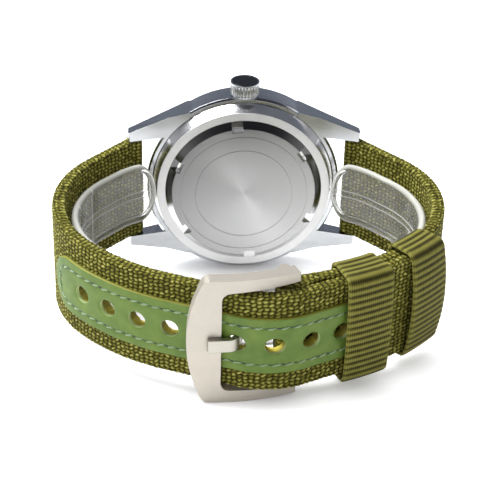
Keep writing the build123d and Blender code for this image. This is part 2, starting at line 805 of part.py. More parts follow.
def make_spring_bar(name, at, seat_half):
    """A spring bar along Z: a barrel with a fixed tip below, and above a spring and a sliding tip."""
    half = seat_half - bar_shoulder
    bore = bar_radius - bar_wall
    tip_foot = half - bar_tip_overlap
    tip_end = seat_half + bar_tip_reach
    with BuildPart() as barrel:
        with BuildSketch(Plane.XY.offset(-half)):
            spot(*at, bar_radius)
        extrude(amount=2 * half)
        with BuildSketch(Plane.XY.offset(tip_foot - bar_spring_length)):
            spot(*at, bore)
        extrude(amount=half - tip_foot + bar_spring_length + overrun, mode=Mode.SUBTRACT)
        with BuildSketch(Plane.XY.offset(-half - overrun)):
            spot(*at, bar_tip_radius)
        extrude(amount=overrun + bar_fixed_overlap, mode=Mode.SUBTRACT)
    keep(barrel, f"{name}_barrel")
    with BuildPart() as fixed_tip:
        with BuildSketch(Plane.XY.offset(-tip_end)):
            spot(*at, bar_tip_radius)
        extrude(amount=tip_end - half + bar_fixed_overlap)
    keep(fixed_tip, f"{name}_fixed_tip")
    with BuildPart() as sliding_tip:
        with BuildSketch(Plane.XY.offset(tip_foot)):
            spot(*at, bore - fit_gap)
        extrude(amount=bar_tip_overlap)
        with BuildSketch(Plane.XY.offset(tip_foot)):
            spot(*at, bar_tip_radius)
        extrude(amount=tip_end - tip_foot)
    keep(sliding_tip, f"{name}_sliding_tip")
    coil_height = bar_spring_length - 2 * bar_spring_wire
    spring_foot = tip_foot - bar_spring_length + bar_spring_wire
    with BuildPart() as spring:
        with BuildLine() as turns:
            Helix(coil_height / bar_spring_turns, coil_height, bore - fit_gap - bar_spring_wire,
                  center=(*at, spring_foot))
        with BuildSketch(Plane(origin=turns.line @ 0, z_dir=turns.line % 0)):
            Circle(bar_spring_wire / 2)
        sweep(path=turns.line, is_frenet=True)
    keep(spring, f"{name}_spring")


buckle_seat_half = window_half + window_flare / 2
make_spring_bar("six_side_bar", (-bar_reach, bar_depth), lug_half)
make_spring_bar("twelve_side_bar", (bar_reach, bar_depth), lug_half)
make_spring_bar("buckle_bar", (buckle_bar_x, buckle_bar_y), buckle_seat_half)

# Strap with the holes, from the six o'clock lugs to its tail, and the leather strip on it
with BuildPart() as hole_strap:
    with BuildSketch(Plane.XY.offset(-strap_width_lugs / 2)):
        band(hole_route, -half_strap, half_strap)
        spot(*bar_at, strap_tube_radius)
        spot(*bar_at, bar_radius + soft_gap, Mode.SUBTRACT)
    extrude(amount=strap_width_lugs)
    strap_width_cut()
    holes_through(half_strap, -half_strap)
keep(hole_strap, "hole_strap")

with BuildPart() as leather_strip:
    strip_begin = hole_places[0] - strip_before
    strip_finish = hole_places[-1] + strip_after
    strip_route = stretch(hole_route, strip_begin, strip_finish)
    with BuildSketch(Plane.XY.offset(-strip_width / 2)):
        band(strip_route, -half_strap - strip_thickness, -half_strap)
    extrude(amount=strip_width)
    corners = [edge for edge in leather_strip.edges()
               if abs(edge.length - strip_thickness) < fit_gap and edge.geom_type == GeomType.LINE]
    fillet(corners, strip_round)
    holes_through(-half_strap, -half_strap - strip_thickness)
keep(leather_strip, "leather_strip")

# Strap with the buckle, folded round the buckle's bar, with a slot for the tongue
fold_radius = bar_radius + soft_gap + half_strap * fold_share
with BuildPart() as buckle_strap:
    with BuildSketch(Plane.XY.offset(-strap_width_lugs / 2)):
        band(buckle_route, -half_strap, half_strap, side=-1)
        spot(bar_reach, bar_depth, strap_tube_radius)
        spot(buckle_bar_x, buckle_bar_y, fold_radius)
        fold_back = place_on(buckle_route, length_of(buckle_route) - fold_length)
        fold_top = shifted(fold_back[0], fold_back[1] - 90, half_strap)
        fold_corner = shifted((buckle_bar_x, buckle_bar_y), fold_corner_angle, fold_radius)
        Polygon((buckle_bar_x, buckle_bar_y), fold_corner, (-fold_top[0], fold_top[1]), align=None)
        spot(bar_reach, bar_depth, bar_radius + soft_gap, Mode.SUBTRACT)
        spot(buckle_bar_x, buckle_bar_y, bar_radius + soft_gap, Mode.SUBTRACT)
    extrude(amount=strap_width_lugs)
    strap_width_cut()
    with BuildSketch(Plane.XY.offset(-tongue_width / 2 - soft_gap)):
        spot(buckle_bar_x, buckle_bar_y, tongue_eye_radius + play)
        with Locations((buckle_bar_x, buckle_bar_y)):
            Rectangle(tongue_lead_length, 2 * (tongue_eye_radius + play), align=(Align.MAX, Align.CENTER))
    extrude(amount=tongue_width + 2 * soft_gap, mode=Mode.SUBTRACT)
keep(buckle_strap, "buckle_strap")


def make_keeper(name, begin, over):
    """A webbing loop round both straps, along the front arc of the strap with the buckle."""
    route = stretch(buckle_route, front_start + begin, front_start + begin + keeper_width)
    inside = half_strap + soft_gap
    outside = half_strap + layer + over + soft_gap
    room = front_half + keeper_side_gap
    with BuildPart() as keeper:
        with BuildSketch(Plane.XY.offset(-room - keeper_wall)):
            band(route, -outside - keeper_wall, inside + keeper_wall, side=-1)
        extrude(amount=2 * (room + keeper_wall))
        with BuildSketch(Plane.XY.offset(-room)):
            band(stretch(buckle_route, front_start + begin - overrun,
                         front_start + begin + keeper_width + overrun), -outside, inside, side=-1)
        extrude(amount=2 * room, mode=Mode.SUBTRACT)
    keep(keeper, name)


make_keeper("sliding_keeper", keeper_start, 0)
make_keeper("fixed_keeper", keeper_start + keeper_width + keeper_space, strip_thickness + keeper_rise)

# Buckle frame: an arched plate cut to its bowed outline, with a window and a notch
frame_start = (buckle_bar_x + frame_end_past, buckle_bar_y - frame_end_drop)
frame_route = (frame_start, frame_start_angle, [(frame_span_length, frame_span_angle)])
frame_end = ends_of(*frame_route)[-1][0]
outer_x = frame_end[0]
side_x = outer_x + frame_bow
inner_x = outer_x + bar_of_frame
arm_end_x = frame_start[0] + frame_outside
with BuildPart() as buckle_frame:
    with BuildSketch(Plane.XY.offset(-frame_half)):
        band(frame_route, -frame_inside, frame_outside)
        spot(buckle_bar_x, buckle_bar_y, frame_eye_radius)
    extrude(amount=2 * frame_half)
    with BuildSketch(Plane.XZ) as outline:
        with BuildLine():
            ThreePointArc((side_x, -frame_half), (outer_x, 0), (side_x, frame_half))
            Polyline((side_x, frame_half), (arm_end_x + overrun, frame_half),
                     (arm_end_x + overrun, -frame_half), (side_x, -frame_half))
        make_face()
        fillet(outline.vertices().group_by(Axis.X)[0], frame_corner)
    extrude(amount=-front_limit, mode=Mode.INTERSECT)
    with BuildSketch(Plane.XZ) as window:
        flared_half = window_half + window_flare
        Polygon((inner_x, -window_half), (inner_x, window_half), (arm_end_x, flared_half),
                (arm_end_x + 2 * overrun, flared_half), (arm_end_x + 2 * overrun, -flared_half),
                (arm_end_x, -flared_half), align=None)
        fillet(window.vertices().group_by(Axis.X)[0], window_corner)
    extrude(amount=-front_limit, mode=Mode.SUBTRACT)
    under_bar = half_strap + strip_thickness + play
    strap_room = (front_half + window_half) / 2
    with BuildSketch(Plane.XY.offset(-strap_room)):
        band(stretch(hole_route, hump_start - frame_span_length - frame_bow, hump_start + overrun),
             -under_bar, under_bar + overrun)
    extrude(amount=2 * strap_room, mode=Mode.SUBTRACT)
    notch_half = tongue_width / 2 + notch_side_gap
    notch_floor = tongue_thickness / 2 + notch_depth_gap
    notch_route = (tongue_route[0], tongue_route[1],
                   tongue_route[2][:-1] + [(tongue_lay_length + notch_side_gap, 0)])
    with BuildSketch(Plane.XY.offset(-notch_half)):
        band(notch_route, -notch_floor, notch_floor + overrun)
    extrude(amount=2 * notch_half, mode=Mode.SUBTRACT)
    for level in (1, -1):
        with BuildSketch(Plane.XY.offset(level * (window_half - overrun))):
            spot(buckle_bar_x, buckle_bar_y, bar_tip_radius + fit_gap)
        extrude(amount=level * (buckle_seat_half + bar_tip_reach + bar_hole_spare - window_half
                                + overrun), mode=Mode.SUBTRACT)
keep(buckle_frame, "buckle_frame")

with BuildPart() as buckle_tongue:
    with BuildSketch(Plane.XY.offset(-tongue_width / 2)):
        band(tongue_route, -tongue_thickness / 2, tongue_thickness / 2)
        spot(buckle_bar_x, buckle_bar_y, tongue_eye_radius)
        spot(buckle_bar_x, buckle_bar_y, bar_radius + fit_gap, Mode.SUBTRACT)
    extrude(amount=tongue_width)
keep(buckle_tongue, "buckle_tongue")

# Display cuff: a clear band inside the loop, alike on both sides, open towards the case
cuff_aside = half_strap + soft_gap + keeper_wall + cuff_gap + cuff_thickness / 2
cuff_half_turn = 360 - buckle_front_start
cuff_line = (bar_at, strap_leave_angle, [
    (strap_straight, 0), arc(buckle_side_radius, buckle_side_angle),
    arc(buckle_front_radius, cuff_half_turn)])
cuff_inner = stretch(cuff_line, cuff_join, length_of(cuff_line))
cuff_pieces = [(length - radians(turn) * cuff_aside, turn) for length, turn in cuff_inner[2]]
cuff_joint = shifted(cuff_inner[0], strap_leave_angle + 90, cuff_aside)
lip_half_turn = cuff_lip_angle / 2
lip_chord = cuff_lip_length / radians(lip_half_turn) * sin(radians(lip_half_turn))
lip_start = shifted(cuff_joint, strap_leave_angle - lip_half_turn + 180, lip_chord)
cuff_route = (lip_start, strap_leave_angle - cuff_lip_angle,
              [(cuff_lip_length, cuff_lip_angle)] + cuff_pieces)
half_cuff = cuff_thickness / 2
with BuildPart() as display_cuff:
    with BuildSketch(Plane.XY.offset(cuff_rise - cuff_width / 2)):
        for side in (1, -1):
            band(cuff_route, -half_cuff, half_cuff, side)
    extrude(amount=cuff_width)
    cuff_half = cuff_width / 2
    end_x = abs(lip_start[0]) - cuff_thickness
    with BuildSketch(Plane.XZ.offset(-cuff_half)):
        for side in (1, -1):
            with Locations((side * (end_x + cuff_round / 2), cuff_rise)):
                Rectangle(cuff_round, cuff_width + 2 * overrun)
            with Locations((side * (end_x + cuff_round), cuff_rise)):
                Ellipse(cuff_round, cuff_half, mode=Mode.SUBTRACT)
    extrude(amount=2 * cuff_width, mode=Mode.SUBTRACT)
    with BuildSketch(Plane.XY.offset(cuff_rise - cuff_groove_width / 2)):
        for side in (1, -1):
            band(cuff_route, half_cuff - cuff_groove_depth, half_cuff + fit_gap, side)
    extrude(amount=cuff_groove_width, mode=Mode.SUBTRACT)
keep(display_cuff, "display_cuff")

# The watch lies on the rim of its case and on the lower front edge of its buckle, so it leans
# forward. The origin is the centre of the case back's raised disc.
buckle_front = buckle_frame.part.bounding_box().min.Y
lean = degrees(atan2(case_radius - frame_half, case_back_face + case_edge - buckle_front))
LAID = Location((0, 0, 0), (lean, 0, 0)) * Location((0, disc_raise, 0))

os.makedirs("parts", exist_ok=True)
for made in pieces:
    laid = LAID * made.part
    laid.label = made.part.label
    export_step(laid, f"parts/{laid.label}.step")
print(f"{len(pieces)} pieces, leaning {lean:.3f} degrees")
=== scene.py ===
"""The looks of a buckled field watch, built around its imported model. Lengths are in metres."""

import json
from math import asin, atan2, ceil, cos, degrees, hypot, pi, radians, sin, sqrt

import bmesh
import bpy
import numpy as np
from mathutils import Matrix, Vector


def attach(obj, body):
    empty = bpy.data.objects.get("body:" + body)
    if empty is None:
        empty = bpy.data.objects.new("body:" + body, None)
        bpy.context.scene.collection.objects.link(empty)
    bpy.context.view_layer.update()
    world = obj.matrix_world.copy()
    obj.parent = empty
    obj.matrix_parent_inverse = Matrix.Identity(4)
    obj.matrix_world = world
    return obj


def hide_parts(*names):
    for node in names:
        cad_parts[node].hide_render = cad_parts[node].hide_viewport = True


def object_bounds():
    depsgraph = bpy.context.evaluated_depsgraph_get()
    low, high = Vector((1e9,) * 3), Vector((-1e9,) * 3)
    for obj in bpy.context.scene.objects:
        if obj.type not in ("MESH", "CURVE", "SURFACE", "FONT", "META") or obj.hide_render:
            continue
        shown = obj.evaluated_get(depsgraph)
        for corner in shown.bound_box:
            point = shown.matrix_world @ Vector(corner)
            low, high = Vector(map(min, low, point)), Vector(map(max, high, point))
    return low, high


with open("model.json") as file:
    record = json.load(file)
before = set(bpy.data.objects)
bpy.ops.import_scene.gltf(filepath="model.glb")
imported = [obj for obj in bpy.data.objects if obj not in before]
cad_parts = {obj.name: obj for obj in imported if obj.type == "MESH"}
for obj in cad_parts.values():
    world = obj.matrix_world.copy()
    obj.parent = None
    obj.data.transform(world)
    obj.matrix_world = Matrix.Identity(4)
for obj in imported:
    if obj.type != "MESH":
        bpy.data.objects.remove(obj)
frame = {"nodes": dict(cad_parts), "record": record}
cad_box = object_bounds()
record = frame["record"]
nodes = frame["nodes"]

# The watch's own directions: X along the straps, towards twelve o'clock on the positive side, Y
# along the case axis, towards the dial, and Z along the crown axis. Depths are values of Y, counted
# from the flat ring of the case back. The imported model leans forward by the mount's own lean.
to_wrist = Vector(record["mounts"][0]["axis"])
lean = atan2(-to_wrist.z, -to_wrist.y)
disc_raise = 0.0012


def rows(points):
    """Points in the watch's own directions, as points in the row frame."""
    points = np.asarray(points, float)
    x, y, z = points[..., 0], points[..., 1] + disc_raise, points[..., 2]
    return np.stack([x, y * cos(lean) - z * sin(lean), y * sin(lean) + z * cos(lean)], -1)


# Sizes that the part's source has too
soft_gap = 0.00012
bar_radius = 0.00075
bar_reach = 0.0224
bar_depth = 0.0025
strap_thickness = 0.0023
strap_tube_radius = 0.0016
strap_width_lugs = 0.0219
strap_width_front = 0.020
strap_taper_end = -0.050
strap_leave_angle = 228
strap_straight = 0.0122
hole_side_radius = 0.023
hole_side_angle = 82
buckle_side_radius = 0.022
buckle_side_angle = 85
hump_radius = 0.014
hump_aside = -0.00255
hump_inset = 0.01005
tail_short = 0.0006
strap_hole_radius = 0.0017
hole_pitch = 0.0063
holes_before = 5
holes_after = 3
strip_thickness = 0.0008
strip_width = 0.0116
strip_before = 0.0087
strip_after = 0.0055
strip_round = 0.0052
keeper_width = 0.0084
keeper_wall = 0.0008
keeper_side_gap = 0.00065
keeper_start = -0.0019
keeper_space = 0.0048
keeper_rise = 0.0004
buckle_bar_x = 0.0046
bar_outset = 0.00109
fold_length = 0.0065
fold_share = 0.8
cuff_thickness = 0.0009
cuff_width = 0.0134
cuff_rise = 0.0006
cuff_round = 0.004
cuff_gap = 0.00027
cuff_join = 0.0082
cuff_lip_length = 0.009
cuff_lip_angle = 38
half_strap = strap_thickness / 2

# The case back's rings, as distances from its middle: where the disc ends, and the middle and half
# the width of the cone beside it and of the flat ring
disc_edge = 0.01475
cone_middle, cone_half = 0.01545, 0.00068
ring_middle, ring_half = 0.01695, 0.00088

# Sizes of this script's own
hole_flare = 0.3
strap_end_round = 0.0005
nose_steps = 14
fold_meet = 0.86


# Routes: a start, a heading in degrees, and pieces of a length and a turn. Left is inside the loop.
def shifted(point, heading, length):
    """The point moved by that length in that direction, in degrees."""
    return (point[0] + length * cos(radians(heading)), point[1] + length * sin(radians(heading)))


def arc(radius, turn):
    """One piece of a route: the length along an arc, and its turn in degrees."""
    return (radius * radians(abs(turn)), turn)


def rounded(start, long_side, short_side, corner):
    """The route round a rectangle, clockwise. The sides are its straight parts."""
    return (start, 0.0, 2 * [(long_side, 0), arc(corner, -90), (short_side, 0), arc(corner, -90)])


def run_between(centre, radius, to_centre, to_radius):
    """The heading and the length of the straight run between two arcs that turn left."""
    step = (to_centre[0] - centre[0], to_centre[1] - centre[1])
    tilt = asin((radius - to_radius) / hypot(*step))
    return degrees(atan2(step[1], step[0]) + tilt), hypot(*step) * cos(tilt)


def length_of(route):
    """The length of a route along its own line."""
    return sum(length for length, turn in route[2])


def follow(route, along, aside):
    """Places in the X-Y plane at distances along a route, moved aside to its left."""
    start, heading, stretches = route
    along, aside = np.broadcast_arrays(np.asarray(along, float), np.asarray(aside, float))
    at = np.array(start, float)
    facing = radians(heading)
    places = np.zeros(along.shape + (2,))
    headings = np.zeros(along.shape)
    travelled = 0.0
    for number, (length, turn) in enumerate(stretches):
        here = along >= travelled if number else np.full(along.shape, True)
        run = along[here] - travelled
        bend = radians(turn) / length
        for target in ("points", "end"):
            run = run if target == "points" else np.array([length])
            angle = facing + bend * run
            if turn:
                step = np.stack([np.sin(angle) - sin(facing),
                                 cos(facing) - np.cos(angle)], -1) / bend
            else:
                step = run[:, None] * np.array([cos(facing), sin(facing)])
            if target == "points":
                places[here] = at + step
                headings[here] = angle
            else:
                at = at + step[0]
        facing += radians(turn)
        travelled += length
    left = np.stack([-np.sin(headings), np.cos(headings)], -1)
    return places + left * aside[..., None]


def laid(route, along, outward, across, side=1):
    """Row-frame points: distances along a route, outwards from it, and across it."""
    flat = follow(route, along, -np.asarray(outward, float))
    across = np.broadcast_to(across, flat.shape[:-1])
    return rows(np.stack([side * flat[..., 0], flat[..., 1], across], -1))


bar_at = (-bar_reach, bar_depth)


def front_of(side_radius, side_turn):
    """The radius and the depth of the centre of the front arc that a side's arc runs into."""
    straight_end = shifted(bar_at, strap_leave_angle, strap_straight)
    side_centre = shifted(straight_end, strap_leave_angle + 90, side_radius)
    slope = radians(strap_leave_angle + side_turn - 90 - 180)
    extra = -side_centre[0] / cos(slope)
    return side_radius + extra, side_centre[1] + extra * sin(slope)


hole_front_radius, hole_front_y = front_of(hole_side_radius, hole_side_angle)
buckle_front_radius, buckle_front_y = front_of(buckle_side_radius, buckle_side_angle)
layer = strap_thickness + soft_gap
outer_radius = buckle_front_radius + layer
buckle_bar_y = buckle_front_y - sqrt(buckle_front_radius**2 - buckle_bar_x**2) - bar_outset
hump_centre = (buckle_bar_x + hump_aside, buckle_bar_y + hump_inset)
leave_heading, leave_run = run_between((0, hole_front_y), hole_front_radius, hump_centre,
                                       hump_radius)
meet_heading, meet_run = run_between(hump_centre, hump_radius, (0, buckle_front_y), outer_radius)
hole_front_turn = 360 + leave_heading - strap_leave_angle - hole_side_angle
buckle_front_start = strap_leave_angle + buckle_side_angle
tail_turn = 360 - buckle_front_start - meet_heading - degrees(tail_short / outer_radius)
hole_route = (bar_at, strap_leave_angle, [
    (strap_straight, 0), arc(hole_side_radius, hole_side_angle),
    arc(hole_front_radius, hole_front_turn), (leave_run, 0),
    arc(hump_radius, meet_heading - leave_heading), (meet_run, 0), arc(outer_radius, tail_turn)])
buckle_end_turn = 360 - buckle_front_start - degrees(asin(buckle_bar_x / buckle_front_radius))
buckle_route = (bar_at, strap_leave_angle, [
    (strap_straight, 0), arc(buckle_side_radius, buckle_side_angle),
    arc(buckle_front_radius, buckle_end_turn)])
hump_start = sum(length for length, turn in hole_route[2][:4])
front_start = sum(length for length, turn in buckle_route[2][:2])
hole_places = [hump_start + hole_pitch * step for step in range(-holes_before, holes_after + 1)]
strip_begin = hole_places[0] - strip_before
strip_finish = hole_places[-1] + strip_after


# Meshes
def spaced(low, high, step):
    """Evenly spaced values from low to high, about a step apart."""
    return np.linspace(low, high, max(2, int(ceil((high - low) / step)) + 1))


def make_piece(name, points, faces, material, body, slot=None, replaced=(), facts=None,
               lining=None, lined=(), sharp=40):
    """A closed, smooth mesh object, riding on a body. facts are values at its points."""
    mesh = bpy.data.meshes.new(name)
    mesh.from_pydata(np.asarray(points).reshape(-1, 3).tolist(), [], faces)
    for fact, values in (facts or {}).items():
        mesh.attributes.new(fact, "FLOAT", "POINT").data.foreach_set(
            "value", np.asarray(values, np.float32).ravel())
    mesh.materials.append(material)
    if lining:
        mesh.materials.append(lining)
        for number in lined:
            mesh.polygons[number].material_index = 1
    tidy = bmesh.new()
    tidy.from_mesh(mesh)
    bmesh.ops.remove_doubles(tidy, verts=tidy.verts, dist=1e-7)
    bmesh.ops.dissolve_degenerate(tidy, edges=tidy.edges, dist=1e-8)
    bmesh.ops.delete(tidy, geom=[v for v in tidy.verts if not v.link_faces], context="VERTS")
    bmesh.ops.recalc_face_normals(tidy, faces=tidy.faces)
    tidy.to_mesh(mesh)
    tidy.free()
    mesh.shade_smooth()
    mesh.set_sharp_from_angle(angle=radians(sharp))
    piece = bpy.data.objects.new(name, mesh)
    bpy.context.scene.collection.objects.link(piece)
    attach(piece, body)
    if replaced:
        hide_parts(*replaced)
    return piece


class Section:
    """The loop round a strap's cross-section: the outside, an edge, the inside and an edge."""

    def __init__(self, rows_across, edge_points, bluntness=0.7):
        flat = np.asarray(rows_across, float)
        turn = pi * np.arange(1, edge_points + 1) / (edge_points + 1)
        count = len(flat)
        self.count = count
        self.size = 2 * count + 2 * edge_points
        self.share = np.concatenate([flat, np.ones(edge_points), flat[::-1], -np.ones(edge_points)])
        rounding = np.sin(turn) ** bluntness
        self.rounding = np.concatenate([np.zeros(count), rounding, np.zeros(count), -rounding])
        inward = (1 - np.cos(turn)) / 2
        self.inward = np.concatenate([np.zeros(count), inward, np.ones(count), inward[::-1]])
        self.normal_out = np.concatenate([np.ones(count), np.cos(turn), -np.ones(count),
                                          -np.cos(turn)])
        self.normal_side = np.concatenate([np.zeros(count), np.sin(turn), np.zeros(count),
                                           -np.sin(turn)])
        self.edge_points = edge_points

    def opposite(self, index):
        """The inside point that lies under an outside point."""
        return 2 * self.count + self.edge_points - 1 - index


def slab(name, section, route, outside, inside, half_width, edge_round, relief, material, body,
         side=1, holes=(), hole_radius=0.0, hole_flare=0.0, lining=None, closed_ends=(False, True),
         **wording):
    """A strap along a route. outside and inside are (along, outward) arrays, one pair a station.
    relief(along, across, outer) gives how far the surface stands proud, and the piece's facts."""
    stations = len(half_width)
    inward = section.inward[None, :]
    along = outside[0][:, None] * (1 - inward) + inside[0][:, None] * inward
    outward = outside[1][:, None] * (1 - inward) + inside[1][:, None] * inward
    edge_round = np.minimum(edge_round, 0.9 * half_width)[:, None]
    across = section.share * (half_width[:, None] - edge_round) + section.rounding * edge_round
    flat = (section.rounding == 0)[None, :] & np.ones(along.shape, bool)
    inner = np.zeros(along.shape, bool)
    rim = np.zeros(along.shape, bool)
    gone = np.zeros((stations - 1, section.size), bool)
    turned = np.roll(np.arange(section.size), -1)
    for place in holes:
        reach = np.hypot(along - place, across)
        inner |= flat & (reach < hole_radius)
    touched = inner | inner[:, turned]
    gone = touched[:-1] | touched[1:]
    for i, j in zip(*np.nonzero(gone)):
        for a, b in ((i, j), (i + 1, j), (i, turned[j]), (i + 1, turned[j])):
            rim[a, b] = not inner[a, b]
    for place in holes:
        step = along - place
        reach = np.hypot(step, across)
        near = rim & (reach < 2 * hole_radius)
        scale = np.where(near, hole_radius / np.maximum(reach, 1e-9), 1)
        wide = 2.6 * hole_radius
        opened = flat & (section.inward[None, :] > 0.5) & (reach < wide)
        push = 1 + hole_flare * hole_radius / np.maximum(reach, hole_radius) * np.clip(
            (wide - reach) / (wide - hole_radius), 0, 1)
        scale = np.where(opened, scale * push, scale)
        along = np.where(near | opened, place + step * scale, along)
        across = np.where(near | opened, across * scale, across)
    height, facts = relief(along, across, outward)
    points = laid(route, along, outward + height * section.normal_out,
                  across + height * section.normal_side, side)
    number = np.arange(stations * section.size).reshape(stations, section.size)
    kept = ~gone
    corners = np.stack([number[:-1], number[:-1][:, turned], number[1:][:, turned], number[1:]], -1)
    faces = corners[kept].tolist()
    walls = []
    for i, j in zip(*np.nonzero(gone[:, :section.count])):
        under = section.opposite
        for here, there, beyond in (
                ((i, j), (i, j + 1), (i - 1, j)), ((i + 1, j), (i + 1, j + 1), (i + 1, j)),
                ((i, j), (i + 1, j), (i, j - 1)), ((i, j + 1), (i + 1, j + 1), (i, j + 1))):
            if not gone[beyond]:
                walls.append([number[here], number[there], number[there[0], under(there[1])],
                              number[here[0], under(here[1])]])
    lined = range(len(faces), len(faces) + len(walls))
    faces += walls
    if closed_ends[0]:
        faces.append(number[0].tolist())
    if closed_ends[1]:
        faces.append(number[-1].tolist())
    return make_piece(name, points, faces, material, body, facts=facts,
                      lining=lining, lined=lined if lining else (), **wording)


# Materials
def srgb(red, green, blue):
    """A colour from 0-255 screen values."""
    def straight(value):
        value /= 255
        return value / 12.92 if value <= 0.04045 else ((value + 0.055) / 1.055) ** 2.4
    return (straight(red), straight(green), straight(blue), 1)


class Nodes:
    """A node tree, with short ways to add and join nodes."""

    def __init__(self, tree):
        self.tree = tree

    def node(self, kind, links=(), **values):
        """A node of a kind. links are (input, source) pairs, values are its settings."""
        made = self.tree.nodes.new("ShaderNode" + kind)
        for name, value in values.items():
            setattr(made, name, value)
        for key, source in links:
            self.join(source, made.inputs[key])
        return made

    def join(self, source, target):
        """Link a source to a socket, or set the socket to a plain value."""
        if isinstance(source, (int, float, tuple)):
            target.default_value = source
        else:
            source = source.outputs[0] if hasattr(source, "outputs") else source
            self.tree.links.new(source, target)

    def math(self, operation, *values, clamp=False):
        """One sum of a Math node."""
        return self.node("Math", list(enumerate(values)), operation=operation, use_clamp=clamp)

    def ramp(self, source, *stops):
        """A colour by value: stops are (value, colour) pairs."""
        made = self.node("ValToRGB", [("Fac", source)])
        spare = made.color_ramp.elements
        while len(spare) < len(stops):
            spare.new(0.5)
        for element, (value, colour) in zip(spare, stops):
            element.position = value
            element.color = colour
        return made

    def blended(self, share, low, high):
        """One colour turning into another by a share."""
        made = self.node("Mix", [(0, share), (6, low), (7, high)], data_type="RGBA")
        return made.outputs[2]


class Look(Nodes):
    """A material's nodes, round its shader."""

    def __init__(self, name, **sockets):
        self.material = bpy.data.materials.new(name)
        self.material.use_nodes = True
        super().__init__(self.material.node_tree)
        self.shader = self.tree.nodes["Principled BSDF"]
        self.output = self.tree.nodes["Material Output"]
        for socket, value in sockets.items():
            self.shader.inputs[socket.replace("_", " ")].default_value = value

    def give(self, **sources):
        """Join sources to the shader's sockets. Underscores in a name stand for spaces."""
        for socket, source in sources.items():
            self.join(source, self.shader.inputs[socket.replace("_", " ")])

    def fact(self, name):
        """The values that a mesh carries at its points."""
        return self.node("Attribute", attribute_name=name).outputs["Fac"]

    def place(self):
        """Places in the row frame."""
        return self.node("TexCoord").outputs["Object"]

    def noise(self, scale, detail=3.0, roughness=0.5, at=None):
        """Noise of that many features a metre."""
        return self.node("TexNoise", [("Vector", at or self.place()), ("Scale", float(scale)),
                                      ("Detail", float(detail)), ("Roughness", float(roughness))])

    def levels(self, source, low, high):
        """A source that runs from 0 to 1, as one that runs from low to high."""
        made = self.node("MapRange", [("Value", source), ("To Min", float(low)),
                                      ("To Max", float(high))])
        return made.outputs["Result"]

    def tinted(self, colour, source):
        """A colour made darker or lighter by a source."""
        made = self.node("Mix", [(0, 1.0), (6, colour), (7, source)], data_type="RGBA",
                         blend_type="MULTIPLY")
        return made.outputs[2]

    def bumped(self, height, distance, strength=1.0):
        """Give the shader a fine relief of that depth."""
        made = self.node("Bump", [("Height", height), ("Distance", float(distance)),
                                  ("Strength", float(strength))])
        before = self.shader.inputs["Normal"].links
        if before:
            self.join(before[0].from_socket, made.inputs["Normal"])
        self.give(Normal=made)


def finish(name, colour, roughness, tone=0.08, scale=600, grain=4000, grain_depth=4e-6, **sockets):
    """A plain finish with a little unevenness in its tone and roughness, and a fine grain."""
    look = Look(name, **sockets)
    cloud = look.noise(scale)
    shade = look.levels(cloud, 1 - tone, 1 + tone)
    look.give(Base_Color=look.tinted(colour, shade))
    fine = look.noise(grain, 2)
    look.give(Roughness=look.levels(fine, 0.8 * roughness, 1.2 * roughness))
    look.bumped(fine, grain_depth)
    return look


# The canvas's colours by relief: painted shade for the gaps, the yarn's own olive, and a painted
# highlight for the crests
canvas_gap_shade, canvas_mid, canvas_crest_highlight = srgb(50, 45, 10), srgb(122, 120, 42), srgb(214, 207, 118)


def make_canvas():
    """Coarse olive weave: the relief gives the threads' tone, with painted shade in the gaps and a
    painted highlight on the crests, and fibres on them.
    """
    look = Look("canvas", Sheen_Weight=0.04, Sheen_Roughness=0.5, Specular_IOR_Level=0.12,
                              Roughness=0.75)
    tone = look.math("ADD", look.fact("relief"), look.levels(look.noise(700, 3), -0.22, 0.22))
    tone = look.math("ADD", tone, look.levels(look.noise(9000, 2), -0.12, 0.12))
    # Painted light: low places in the weave take the painted gap shade, and high ones the painted
    # highlight
    colour = look.ramp(tone, (0.20, canvas_gap_shade), (0.62, canvas_mid), (1.0, canvas_crest_highlight))
    look.give(Base_Color=colour)
    look.bumped(look.noise(9000, 3), 4e-5, 0.7)
    return look.material


def make_webbing():
    """Ribbed olive webbing: a painted highlight on the ribs and painted shade between them, with a
    fine cross weave.
    """
    look = Look("webbing", Sheen_Weight=0.04, Sheen_Roughness=0.5, Specular_IOR_Level=0.15,
                               Roughness=0.7)
    fine = look.math("SINE", look.math("MULTIPLY", look.fact("along"), 2 * pi / 0.00038))
    tone = look.math("ADD", look.fact("relief"), look.levels(look.noise(900, 3), -0.2, 0.2))
    tone = look.math("ADD", tone, look.math("MULTIPLY", fine, 0.18))
    # Painted light: rib crests take the pale highlight colour and the valleys the dark shade colour
    colour = look.ramp(tone, (0.05, srgb(44, 40, 8)), (0.5, srgb(96, 92, 34)),
                       (1.0, srgb(152, 148, 72)))
    look.give(Base_Color=colour)
    look.bumped(fine, 3e-5, 0.5)
    return look.material


def make_leather():
    """Satin green leather with a fine grain, a yellow edge and a darker stitch groove."""
    look = Look("strip_leather", Specular_IOR_Level=0.32)
    cloud = look.noise(250, 4, 0.6)
    colour = look.ramp(cloud, (0.3, srgb(96, 126, 50)), (0.7, srgb(122, 148, 64)))
    colour = look.blended(look.fact("edge"), colour.outputs[0], srgb(168, 156, 62))
    colour = look.blended(look.fact("groove"), colour, srgb(58, 88, 36))
    look.give(Base_Color=colour)
    grain = look.node("TexVoronoi", [("Vector", look.place()), ("Scale", 2600.0)])
    look.give(Roughness=look.levels(look.noise(1500, 2), 0.36, 0.52))
    look.bumped(grain.outputs["Distance"], 2.5e-5, 0.35)
    return look.material


